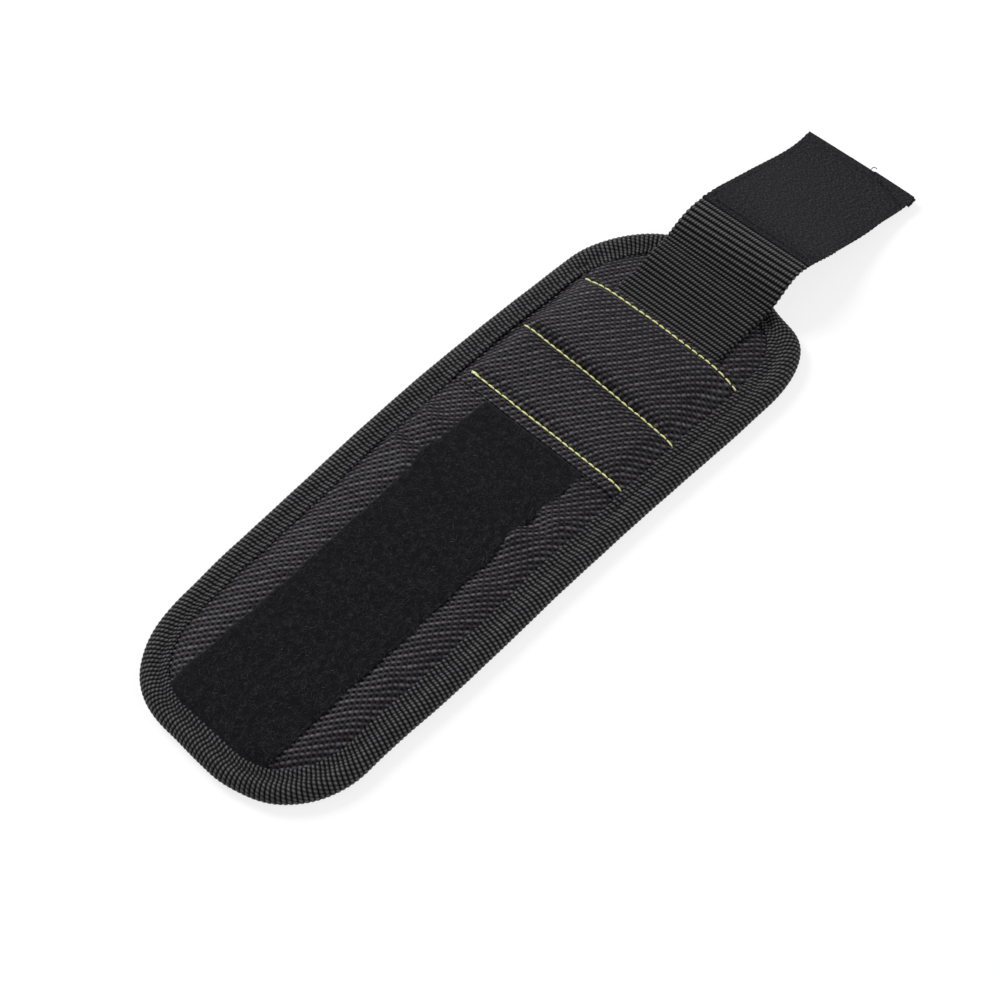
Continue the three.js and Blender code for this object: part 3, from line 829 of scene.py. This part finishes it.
def laid_down(points):
    """The panel as it was sewn. Round the middle seam it is moved towards the strap by
    0.85 + 0.028 y + 0.35 cos(pi y / 60), fading over 7, and from x = 50 to 64 the upper hem and its row come
    to lie 1.05 - 0.015 y nearer the free end."""
    x, y = points[..., 0], points[..., 1]
    bow = np.cos(np.pi * np.clip(y / 60, -0.5, 0.5))
    middle = (0.85 + 0.028 * y + 0.35 * bow) * hill(x, MIDDLE_SEAM, 7)
    upper = (0.015 * y - 1.05) * ease((x - 50) / 14)
    moved = points.copy()
    moved[..., 0] += middle + upper
    return hand_sewn(moved)


fine = steps_of(YARN_X, 4, 20, 75)
rows = fine[(fine > PANEL_START + 0.1) & (fine < PANEL_END - 0.05)]
rows = np.concatenate([[PANEL_START, PANEL_START + 0.08], rows, [PANEL_END - 0.03, PANEL_END]])
fine = steps_of(YARN_Y, 4, -PANEL_HALF, PANEL_HALF)
x, y = grid(rows, fine[np.abs(fine) < PANEL_HALF])
# The panel's weave tone is the same painted shade and sheen.
weave, weave_tone_with_painted_shade = basket_weave(x, y)
from_hem = np.minimum(x - PANEL_START, PANEL_END - x)
lies_x, lies_y = drawn_askew(x, y)
lies_x = x + (lies_x - x) * ease(from_hem / 7)
face = panel_top(lies_x, lies_y) + weave * ease(from_hem / 0.3) - 0.35 * round_edge(from_hem, 0.5)
over = laid_down(np.stack([lies_x, lies_y, face], -1))
under = laid_down(np.stack([lies_x, lies_y, panel_bottom(lies_x, lies_y) - 0.25], -1))
panel = slab("stitched_panel", over, under, nylon_cloth, uv=flat_uv(x, y), relief=weave_tone_with_painted_shade)
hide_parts("panel_lower_channel", "panel_upper_channel")
bend_with_span(panel, 4)


# Seam threads: three rows of pale yellow lockstitch through the panel. Each stitch is a short two-ply thread
# that sinks into the cloth at its ends.
TWISTS = 2.2


def stitch_row(name, starts, ends, width, arch, material):
    """One closed spindle per stitch, from its start point to its end point.

    Along the stitch, at share a, the middle line rises by arch sin(pi a)^0.6 over the chord, and the radius
    is width / 2 sin(pi a)^0.3, scalloped by two plies: 1 + 0.13 cos(2 angle - 2 pi TWISTS a).
    """
    count = len(starts)
    share = np.array([0.03, 0.1, 0.22, 0.36, 0.5, 0.64, 0.78, 0.9, 0.97])
    sides = 10
    angle = np.arange(sides) * 2 * np.pi / sides
    chord = ends - starts
    ahead = chord / np.linalg.norm(chord, axis=-1, keepdims=True)
    side = np.cross([0.0, 0.0, 1.0], ahead)
    side /= np.linalg.norm(side, axis=-1, keepdims=True)
    rise = np.cross(ahead, side)
    line = starts[:, None] + share[:, None] * chord[:, None]
    line = line + (arch * np.sin(np.pi * share) ** 0.6)[:, None] * rise[:, None]
    radius = width / 2 * np.sin(np.pi * share) ** 0.3
    ply = 1 + 0.13 * np.cos(2 * angle - 2 * np.pi * TWISTS * share[:, None])
    reach = (radius[:, None] * ply)[..., None]
    across = np.cos(angle)[:, None] * side[:, None, None]
    upward = np.sin(angle)[:, None] * rise[:, None, None]
    ring = line[:, :, None] + reach * across + reach * upward
    tips = np.stack([starts, ends], 1)
    number = np.arange(count * len(share) * sides).reshape(count, len(share), sides)
    turn_on = np.roll(number, -1, axis=2)
    walls = tube_walls(number)[..., [0, 3, 2, 1]].reshape(-1, 4)
    first = number.size + np.arange(count)[:, None] * 2 + np.zeros(sides, int)
    near = np.stack([first, turn_on[:, 0], number[:, 0]], -1).reshape(-1, 3)
    far = np.stack([first + 1, number[:, -1], turn_on[:, -1]], -1).reshape(-1, 3)
    points = np.concatenate([ring.reshape(-1, 3), tips.reshape(-1, 3)])
    uv = np.broadcast_arrays(share[:, None] * 2.5, np.arange(sides) * 0.2, number)[:2]
    uv = np.concatenate([np.stack(uv, -1).reshape(-1, 2), np.zeros((2 * count, 2))])
    return mesh_object(name, points, [walls, near, far], material, uv)


# Each row: its name, the body under it, its left and right end, its number of stitches, and the gap between
# two stitches at either end of the row.
SEAM_ROWS = [
    ("seam_lower", "lower_channel", 25.3, -29.4, 22, (0.1, 0.2)),
    ("seam_middle", "upper_channel", 27.8, -29.4, 23, (0.06, 0.2)),
    ("seam_upper", "upper_channel", 26.8, -30.0, 23, (0.1, 0.5)),
]
# The ramp's yellow is the thread's own colour; its pale near-white stop paints highlights along the thread as
# streaks.
yellow_and_painted_highlight_stops = [(0.3, (0.92, 0.92, 0.12)), (0.58, (1.0, 1.0, 0.55))]
yellow_thread = fibre_material(
    "yellow_thread", (0.9, 0.9, 0.25), 0.35, yellow_and_painted_highlight_stops, stretch=(8, 90, 1), shine=0.7, strands=0.4
)
for seam, (seam_name, body, first_y, last_y, count, gaps) in enumerate(SEAM_ROWS):
    random = np.random.default_rng(20 + seam)
    holes_y = np.linspace(first_y, last_y, count + 1) + random.uniform(-0.12, 0.12, count + 1)
    holes_x = seam_x(seam, holes_y) + random.uniform(-0.07, 0.07, count + 1)
    holes = np.stack([holes_x, holes_y, panel_top(holes_x, holes_y) - 0.08], -1)
    half_gap = np.zeros((count, 3))
    half_gap[:, 1] = np.linspace(*gaps, count) / 2
    starts = holes[:-1] - half_gap
    ends = holes[1:] + half_gap
    if seam == 0:
        # The lower seam starts with a short backstitch, which shows as a knot.
        back_holes = holes[0] + np.array([[0.25, 1.2, 0.05], [0.3, -1.3, 0.12], [-0.2, 0.9, 0.1]])
        starts = np.concatenate([starts, back_holes[[0, 2]]])
        ends = np.concatenate([ends, back_holes[[1, 1]]])
    row = stitch_row(f"{seam_name}_stitches", laid_down(starts), laid_down(ends), 0.52, 0.3, yellow_thread)
    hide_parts(seam_name)
    if seam == 1:
        bend_with_span(row, 4)
    else:
        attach(row, body)


# Edge binding: ribbed black tape folded over the rim all the way round, its two legs sewn through together.
# The ribs run across the tape, from one leg over the rim to the other.
RIB_COUNT = 370
PER_RIB = 6
RIB_HEIGHT = 0.21
STITCH_PITCH = 2.6
STITCH_LENGTH = 2.2
STITCH_INSET = 5.6
PANEL_RISE = 0.75
# The tape's section, from the upper leg's edge round the rim to the lower leg's edge, as insets from the rim
# and heights over the table: of the ribbed face half way up its ribs, and of the inner face.
FACE_INSETS = np.array(
    [8.0, 7.6, 6.9, 6.3, 5.8, 5.3, 4.7, 3.9, 3.0, 2.1, 1.3, 0.7, 0.25, 0.0, 0.0, 0.3, 1.0, 3.0, 8.0]
)
FACE_LEVELS = np.array(
    [4.68, 4.95, 4.95, 4.7, 4.5, 4.55, 4.9, 5.3, 5.4, 5.25, 4.9, 4.35, 3.65, 2.9, 2.1, 1.2, 0.4, 0.0, 0.0]
)
INNER_INSETS = np.array(
    [8.0, 7.6, 6.9, 6.3, 5.8, 5.3, 4.7, 4.0, 3.1, 2.4, 1.8, 1.3, 1.0, 0.85, 0.85, 1.05, 1.5, 3.2, 8.0]
)
INNER_LEVELS = np.array(
    [4.4, 4.4, 4.25, 3.95, 3.75, 3.8, 4.15, 4.5, 4.6, 4.5, 4.25, 4.0, 3.45, 2.85, 2.25, 1.7, 1.15, 0.75, 0.75]
)


def rim_station(distance):
    """Foot point and outward direction on the outline, at a distance along it measured 3 inside the rim.

    It starts at x = -53 on the left edge and goes clockwise seen from above: a straight side, a corner arc,
    the end's straight side, an arc, and so on. The foot is the arc's centre, or the point level with it.
    """
    straight_x, straight_y = 2 * (HALF_LENGTH - CORNER), 2 * (HALF_WIDTH - CORNER)
    arc = (CORNER - 3) * np.pi / 2
    first = HALF_LENGTH - CORNER + 53
    legs = [first, arc, straight_y, arc, straight_x, arc, straight_y, arc, straight_x - first]
    cx, cy = straight_x / 2, straight_y / 2
    feet = [(-53, cy), (cx, cy), (cx, cy), (cx, -cy), (cx, -cy), (-cx, -cy), (-cx, -cy), (-cx, cy), (-cx, cy)]
    angles = [90, 90, 0, 0, -90, -90, -180, -180, -270]
    edges = np.concatenate([[0], np.cumsum(legs)])
    leg = np.clip(np.searchsorted(edges, distance, side="right") - 1, 0, 8)
    gone = distance - edges[leg]
    turning = np.isin(leg, [1, 3, 5, 7])
    angle = np.radians(np.array(angles)[leg]) - np.where(turning, gone / (CORNER - 3), 0)
    outward = np.stack([np.cos(angle), np.sin(angle)], -1)
    ahead = np.stack([outward[:, 1], -outward[:, 0]], -1)
    foot = np.array(feet, float)[leg] + np.where(turning, 0, gone)[:, None] * ahead
    return foot, outward


RIM_LENGTH = 2 * (2 * (HALF_LENGTH - CORNER) + 2 * (HALF_WIDTH - CORNER)) + 2 * np.pi * (CORNER - 3)


def on_rim(distance, inset, level):
    """Points at an inset from the rim and a height, for stations along the outline."""
    foot, outward = rim_station(distance)
    flat = foot[:, None, :] + outward[:, None, :] * (CORNER - inset)[..., None]
    return np.concatenate([flat, level[..., None]], -1)


def over_panel(x):
    """1 beside the panel, where the binding's upper leg also covers the panel's side, and 0 elsewhere."""
    return ease((x - 19.5) / 4) * ease((74 - x) / 4)


def fanned(points, inset):
    """The tape as it was drawn round the band: along the long sides its ribs fan out, so that they lean by
    0.0042 x from 4 inside the rim, and it is moved with the rest of the band."""
    x = points[..., 0]
    moved = points.copy()
    moved[..., 0] += 0.0042 * x * (4 - inset) * ease((92 - np.abs(x)) / 22)
    return hand_sewn(moved)


distance = np.arange(RIB_COUNT * PER_RIB + 1) * RIM_LENGTH / (RIB_COUNT * PER_RIB)
distance[-1] -= 1e-9
rib = (0.5 + 0.5 * np.cos(2 * np.pi * np.arange(len(distance)) / PER_RIB)) ** 0.6
section = np.stack([FACE_INSETS, FACE_LEVELS], -1)
slope = np.gradient(section, axis=0)
slope /= np.linalg.norm(slope, axis=-1, keepdims=True)
place_round = np.arange(len(section))
upper_leg = np.clip(1 - place_round / 8, 0, 1)
wobble = 0.16 * np.sin(distance / 9.0) + 0.12 * np.sin(distance / 4.3 + 1) + 0.07 * np.sin(distance / 1.9)
sideways = wobble[:, None] * np.where(upper_leg > 0.9, 1.0, 0.25)
raised = RIB_HEIGHT * (rib - 0.6)[:, None]
mid_inset = np.full((len(distance), 1), 4.0)
station_x = on_rim(distance, mid_inset, mid_inset)[:, 0, 0]
lifted = PANEL_RISE * over_panel(station_x)[:, None] * ease(upper_leg * 1.6)
inset = FACE_INSETS + raised * slope[:, 1] + sideways
face_level = FACE_LEVELS - raised * slope[:, 0] + lifted
face_level = np.where(place_round > 14, np.maximum(face_level, 0.02), face_level)
face = fanned(on_rim(distance, inset, face_level), inset)
inner_inset = INNER_INSETS + sideways
inner = fanned(on_rim(distance, inner_inset, INNER_LEVELS + lifted), inner_inset)
round_tape = np.concatenate([[0], np.cumsum(np.linalg.norm(np.diff(section, axis=0), axis=-1))])
tape_uv = flat_uv(*np.broadcast_arrays(distance[:, None], round_tape))
# The rib's height, stored as relief for the tape's colour, paints shade into the valleys between the ribs.
rib_painted_shade = np.broadcast_to(rib[:, None], inset.shape)


def ribbed_tape(name, color, pitch, bead, dash, worn, stops, shine):
    """A ribbed tape's material. Its colour follows the relief, the ribs' height, so the valleys between the
    ribs are painted shade. Along each rib the threads show as beads, sin(2 pi v / bead + pi u / pitch), which
    darken it by up to twice dash, painted shade between the beads. worn is the detail, roughness, share and
    least value of a noise that varies it over the ramp's stops."""
    material, tree, shader = new_material(name, color, 0.5)
    uv = texture_uv(tree)
    place = node(tree, "SeparateXYZ", Vector=uv).outputs
    across = math(tree, "MULTIPLY", place[1], 20 * np.pi / bead)
    phase = math(tree, "MULTIPLY_ADD", place[0], 10 * np.pi / pitch, across)
    beads = math(tree, "MULTIPLY_ADD", math(tree, "SINE", phase), dash, 1 - dash)
    ribs = math(tree, "MULTIPLY", relief_of(tree), beads)
    detail, roughness, amount, least = worn
    wear = math(tree, "MULTIPLY_ADD", noise(tree, uv, 3.0, detail, roughness), amount, least)
    # Colour from the rib and bead height, which paints shade into their dips, times the random wear noise.
    tinted(tree, shader, math(tree, "MULTIPLY", ribs, wear), stops)
    bumped(tree, shader, ribs, 0.6, 0.15)
    shiny(tree, shader, ribs, shine)
    return material


stops = [(0.05, (0.0015, 0.0015, 0.0016)), (0.42, (0.0187, 0.0187, 0.02)), (0.95, (0.118, 0.116, 0.121))]
pitch = RIM_LENGTH / RIB_COUNT
worn = (5.0, 0.7, 1.3, 0.35)
binding_tape = ribbed_tape("binding_tape", (0.016, 0.016, 0.018), pitch, 1.1, 0.28, worn, stops, 0.25)
stops = [(0.3, (0.003, 0.003, 0.0035)), (0.7, (0.012, 0.012, 0.013))]
black_thread = fibre_material("black_thread", (0.012, 0.012, 0.013), 0.6, stops, (8, 90, 1), shine=0.15)

binding_nodes = [["free_end"], *[[f"left_{number}", f"right_{number}"] for number in range(2, 7)]]
binding_nodes[5].append("strap_end")
middle_x = (station_x[1:] + station_x[:-1]) / 2
stitch_at = np.arange(0.8, RIM_LENGTH - 1.5, STITCH_PITCH)
hole_inset = np.full((len(stitch_at), 1), STITCH_INSET)
stitch_x = on_rim(stitch_at, hole_inset, hole_inset)[:, 0, 0]
stitch_level = (4.36 + PANEL_RISE * over_panel(stitch_x))[:, None]
stitch_start = hand_sewn(on_rim(stitch_at, hole_inset, stitch_level))[:, 0]
stitch_end = hand_sewn(on_rim(stitch_at + STITCH_LENGTH, hole_inset, stitch_level))[:, 0]
for span, (span_name, *_) in enumerate(SPANS):
    keep = (middle_x > CUTS[span]) & (middle_x <= CUTS[span + 1])
    keep = np.repeat(keep[:, None], len(section) - 1, axis=1)
    edge_tape = slab(f"edge_tape_{span_name}", face, inner, binding_tape, keep, tape_uv, rib_painted_shade)
    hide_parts(*[f"binding_{n}" for n in binding_nodes[span]])
    bend_with_span(edge_tape, span)
    own = (stitch_x > CUTS[span]) & (stitch_x <= CUTS[span + 1])
    row_name = f"edge_stitches_{span_name}"
    row = stitch_row(row_name, stitch_start[own], stitch_end[own], 0.34, 0.1, black_thread)
    bend_with_span(row, span)


# Webbing strap: ribbed polyester webbing, its root sewn in under the panel's upper hem. It lies on the band,
# climbs over the end binding, and arches up to the tab.
STRAP_MIDDLE = -0.75
STRAP_HALF = 19.0
STRAP_PIVOT = 72
RIB = 1.456
BEAD = 0.92
TAB_FOLD = (103, 113)


def strap_line(x):
    """Height of the strap's underside: 5.9 on the band, up 0.5 over the binding, up 5.3 into the arch, and
    down 10.8 to the table, each by ease over its own stretch, measured from the pivot."""
    along = x - STRAP_PIVOT
    return 5.9 + 0.5 * ease((along - 6) / 10) + 5.3 * ease((along - 19) / 15) - 10.8 * ease((along - 34) / 45)


def on_strap(x, y, offset):
    """Points at an offset square to the strap's underside, with the free end's twist: its left edge starts to
    rise first, and its right edge comes down to the table first. From x = 104 on it eases 0.6 to the right.
    Its left edge bulges by 1.1 round x = 97, and its right edge by 0.9 round x = 147, where its tip is 0.9
    short."""
    slope = (strap_line(x + 0.2) - strap_line(x - 0.2)) / 0.4
    size = np.sqrt(1 + slope**2)
    left = 1.7 * hill(x, 88, 7) - 0.8 * hill(x, 128, 18)
    right = 1.5 * hill(x, 100, 8) - 2.7 * hill(x, 122, 15)
    share = (1 + (y - STRAP_MIDDLE) / STRAP_HALF) / 2
    twist = left * share + right * (1 - share)
    aside = 1.1 * share**2 * hill(x, 97, 7) - 0.6 * ease((x - 104) / 12)
    aside = aside - 0.9 * (1 - share) ** 2 * hill(x, 147, 7)
    short = 0.9 * (1 - share) ** 2 * ease((x - 144) / 8)
    return np.stack([x - short - slope / size * offset, y + aside, strap_line(x) + offset / size + twist], -1)


stops = [(0.08, (0.001, 0.001, 0.0011)), (0.45, (0.016, 0.016, 0.017)), (1.0, (0.105, 0.105, 0.11))]
worn = (4.0, 0.5, 0.5, 0.75)
strap_webbing = ribbed_tape("strap_webbing", (0.02, 0.02, 0.022), RIB, BEAD, 0.3, worn, stops, 0.3)

rib_edge = RIB / 2 + RIB * np.arange(200)
cut_a = rib_edge[np.argmin(np.abs(rib_edge - 76.2))]
cut_b = rib_edge[np.argmin(np.abs(rib_edge - 93.0))]
STRAP_PARTS = [
    ("root", 61.0, cut_a, "upper_channel", "strap_base", (70.8, 75.8), ("webbing_root", "webbing_base")),
    ("arch", cut_a, cut_b, "strap_base", "strap_span", (76.5, 84.0), ("webbing_span",)),
    ("end", cut_b, 118.0, "strap_span", "tab", TAB_FOLD, ("webbing_lap",)),
]
for part_name, start, end, before, after, bend, nodes in STRAP_PARTS:
    fine = steps_of(RIB, 6, 60, 120)
    rows = np.concatenate([[start], fine[(fine > start + 0.02) & (fine < end - 0.02)], [end]])
    x, t = grid(rows, np.linspace(-1, 1, 166))
    edge_wave = 0.12 * np.sin(x / 5.0) + 0.13 * np.cos(2 * np.pi * x / RIB)
    y = STRAP_MIDDLE + STRAP_HALF * t + edge_wave * np.sign(t) * np.abs(t) ** 12
    # Round x = 103 the ribs stand a quarter taller, and as ridge also sets the webbing's colour they are
    # painted lighter there, a painted highlight.
    ridge = (0.5 + 0.5 * np.cos(2 * np.pi * x / RIB)) ** 0.8 * (1 + 0.25 * hill(x, 103, 5))
    beads = 0.03 * ridge * np.sin(2 * np.pi * y / BEAD + np.pi * x / RIB)
    plain = ease((107.7 - x) / 0.5)
    edge = np.clip((np.abs(t) - 0.955) / 0.045, 0, 1) ** 2
    slim = 0.15 * (1 - plain)
    top_offset = 1.35 - slim - 0.42 * edge + (0.3 * (ridge - 0.6) + beads) * plain * (1 - 0.6 * edge)
    low_offset = 0.1 + 0.33 * (1 - plain) + 0.3 * edge - 0.12 * (ridge - 0.5) * plain
    over, under = on_strap(x, y, top_offset), on_strap(x, y, low_offset)
    part_name = f"webbing_{part_name}_ribbed"
    # ridge, stored as relief, also paints shade into the valleys between the webbing's ribs.
    webbing = slab(part_name, over, under, strap_webbing, uv=flat_uv(x, y), relief=ridge)
    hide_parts(*nodes)
    bend_between(webbing, before, after, *bend)


# Tab cover: smooth, closely woven tape over the webbing's end, sewn all round. Its tip is folded under, which
# shows as a thicker square end, and the tip's right corner is turned back on it.
TAB_START = 107.1
TAB_END = 151.8
TAB_HALF = 19.1
tab_tape, tree, shader = new_material("tab_tape", (0.024, 0.024, 0.025), 0.75, Specular_IOR_Level=0.15)
uv = texture_uv(tree)
fine_weave = noise(tree, stretched(tree, uv, (3, 1, 1)), 12.0, 3.0, 0.7)
speckled = math(tree, "MULTIPLY_ADD", noise(tree, uv, 20.0, 3.0, 0.8), 0.8, fine_weave)
stops = [(0.64, (0.0028, 0.0028, 0.0036)), (0.79, (0.0062, 0.0062, 0.0075)), (0.89, (0.05, 0.05, 0.055))]
tinted(tree, shader, math(tree, "MULTIPLY", speckled, 0.86), stops)
bumped(tree, shader, fine_weave, 0.4, 0.08)


def turned_corner(x, y):
    """The tip's right corner, folded back on the tape: 0.4 higher beyond a slanting line that runs from the
    tip at y = -5 to the right edge 6.5 before the tip, with a hollow 0.3 deep along that line."""
    line = TAB_END - 6.5 * np.clip((-5 - y) / 15, 0, 1)
    beyond = x - line
    turned = ease((-4.5 - y) / 1.5)
    return turned * (0.4 * ease(beyond / 0.5) - 0.3 * hill(beyond, -0.3, 0.4))


def cover_sheet(name, start, end, low, high, left, right, corner=0):
    """A strip of the cover tape between two offsets over the strap's line, with rounded edges. It dips at the
    tab's start, where the webbing's ribs show through, and corner is its share of the turned corner."""
    rows = np.concatenate([spaced(start, end, 0.3), [start + 0.1, start + 0.25, end - 0.1, end - 0.25]])
    share = np.concatenate([np.linspace(-1, 1, 76), [-0.996, -0.99, 0.99, 0.996]])
    x, t = grid(np.unique(rows), np.unique(share))
    edge_wave = 0.15 * np.sin(x / 4.1 + 1) + 0.07 * np.sin(2 * np.pi * x / 1.7)
    y = (left + right) / 2 + t * (right - left) / 2 + edge_wave * np.sign(t) * np.abs(t) ** 8
    near = np.minimum((1 - np.abs(t)) * (right - left) / 2, np.minimum(x - start, end - x))
    fall = 0.5 * (high - low) * round_edge(near, 0.4)
    wave = 0.06 * soft_noise(x, y, 16, 31) + 0.03 * soft_noise(x, y, 2.2, 32)
    wave = wave - 0.45 * ease((TAB_START + 6 - x) / 6)
    wave = wave + 0.2 * np.cos(2 * np.pi * x / RIB) * ease((TAB_START + 9 - x) / 9)
    wave = wave + 0.16 * corner * hill(x, TAB_END - 1.7, 0.5)
    over = on_strap(x, y, high + wave - fall + corner * turned_corner(x, y))
    under = on_strap(x, y, low + wave + 0.4 * fall)
    return slab(name, over, under, tab_tape, uv=flat_uv(x, y))


left, right = STRAP_MIDDLE - TAB_HALF, STRAP_MIDDLE + TAB_HALF
cover = cover_sheet("tab_cover_tape", TAB_START, TAB_END, 1.25, 1.85, left, right, corner=1)
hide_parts("tab_cover")
fold = cover_sheet("tab_tip_fold", TAB_END - 3.4, TAB_END + 0.35, 0.5, 1.2, left - 0.4, right - 0.5)
stitch_x = np.arange(TAB_START + 2.2, TAB_END - 4, STITCH_PITCH)
stitch_y = np.arange(STRAP_MIDDLE - 17, STRAP_MIDDLE + 15.5, STITCH_PITCH)
starts, ends = [], []
for side in (-1, 1):
    starts.append(flat_uv(stitch_x, np.full_like(stitch_x, STRAP_MIDDLE + side * 17.4)))
    ends.append(starts[-1] + [STITCH_LENGTH, 0])
for row_x in (TAB_START + 1.6, TAB_END - 2.4):
    starts.append(flat_uv(np.full_like(stitch_y, row_x), stitch_y))
    ends.append(starts[-1] + [0, STITCH_LENGTH])
starts, ends = [on_strap(*np.concatenate(places).T, 1.84) for places in (starts, ends)]
tab_stitches = stitch_row("tab_stitches", starts, ends, 0.24, 0.04, black_thread)
thread_path = np.array([[151.0, -4.0], [152.2, -4.2], [153.1, -4.1], [153.5, -4.7], [153.3, -5.4]])
thread_points = on_strap(*thread_path.T, 1.2)
loose = stitch_row("loose_thread", thread_points[:-1], thread_points[1:], 0.26, 0.02, black_thread)
for piece in (cover, fold, tab_stitches, loose):
    bend_between(piece, "strap_span", "tab", *TAB_FOLD)


# Hook tape: the stiff half of the fastener, sewn under the tab with its hooks facing down, ready for the
# loop patch. Each hook is a four-sided bristle that reaches 0.46 down and bends over at its tip, every second
# one the other way.
HOOK_START = 109.8
HOOK_END = 150.6
HOOK_HALF = 18.25
hook_nylon, tree, shader = new_material("hook_nylon", (0.01, 0.01, 0.011), 0.4)
grain = noise(tree, texture_uv(tree), 30.0, 3.0)
tinted(tree, shader, grain, [(0.3, (0.006, 0.006, 0.007)), (0.7, (0.018, 0.018, 0.02))])
bumped(tree, shader, grain, 0.3, 0.05)
x, t = grid(np.linspace(HOOK_START, HOOK_END, 70), np.linspace(-1, 1, 50))
y = STRAP_MIDDLE + HOOK_HALF * t
over, under = on_strap(x, y, 0.4), on_strap(x, y, 0.1)
backing = slab("hook_backing", over, under, hook_nylon, uv=flat_uv(x, y))
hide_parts("hook_tape")
hook_x, hook_y = grid(np.arange(111, 150, 1.35), np.arange(-18.2, 17, 1.3))
hook_x = (hook_x + 0.3 * (np.arange(hook_x.shape[1]) % 2)[None]).ravel()
turn = np.linspace(0, 1, 6)
hook_drop = 0.14 - 0.46 * np.sin(np.pi * np.clip(turn * 0.75, 0, 0.5)) + 0.28 * np.clip(turn - 0.67, 0, 1)
hook_ahead = 0.42 * ease((turn - 0.25) / 0.75)
sign = np.where(np.arange(len(hook_x)) % 2 == 0, 1, -1)[:, None, None]
around = np.arange(4) * np.pi / 2 + np.pi / 4
thick = 0.09 * np.array([1.3, 1.0, 1.0, 1.0, 0.85, 0.5])
bend = np.array([0.0, 0.15, 0.5, 0.85, 1.2, 1.5])
ring_x = hook_ahead[:, None] + (thick * np.cos(bend))[:, None] * np.cos(around)
ring_x = hook_x[:, None, None] + ring_x * sign
ring_y = hook_y.ravel()[:, None, None] + thick[:, None] * np.sin(around)
ring_z = hook_drop[:, None] + (thick * np.sin(bend))[:, None] * np.cos(around)
number = np.arange(ring_x.size).reshape(ring_x.shape)
walls, tips = tube_walls(number), number[:, -1].copy()
mirrored = sign.ravel() < 0
walls[mirrored] = walls[mirrored][..., ::-1]
tips[mirrored] = tips[mirrored][:, ::-1]
hook_points = on_strap(ring_x, ring_y, ring_z).reshape(-1, 3)
hook_uv = flat_uv(ring_x.ravel(), ring_y.ravel())
hooks = mesh_object("hooks", hook_points, [walls.reshape(-1, 4), tips], hook_nylon, hook_uv)
for piece in (backing, hooks):
    bend_between(piece, "strap_span", "tab", *TAB_FOLD)
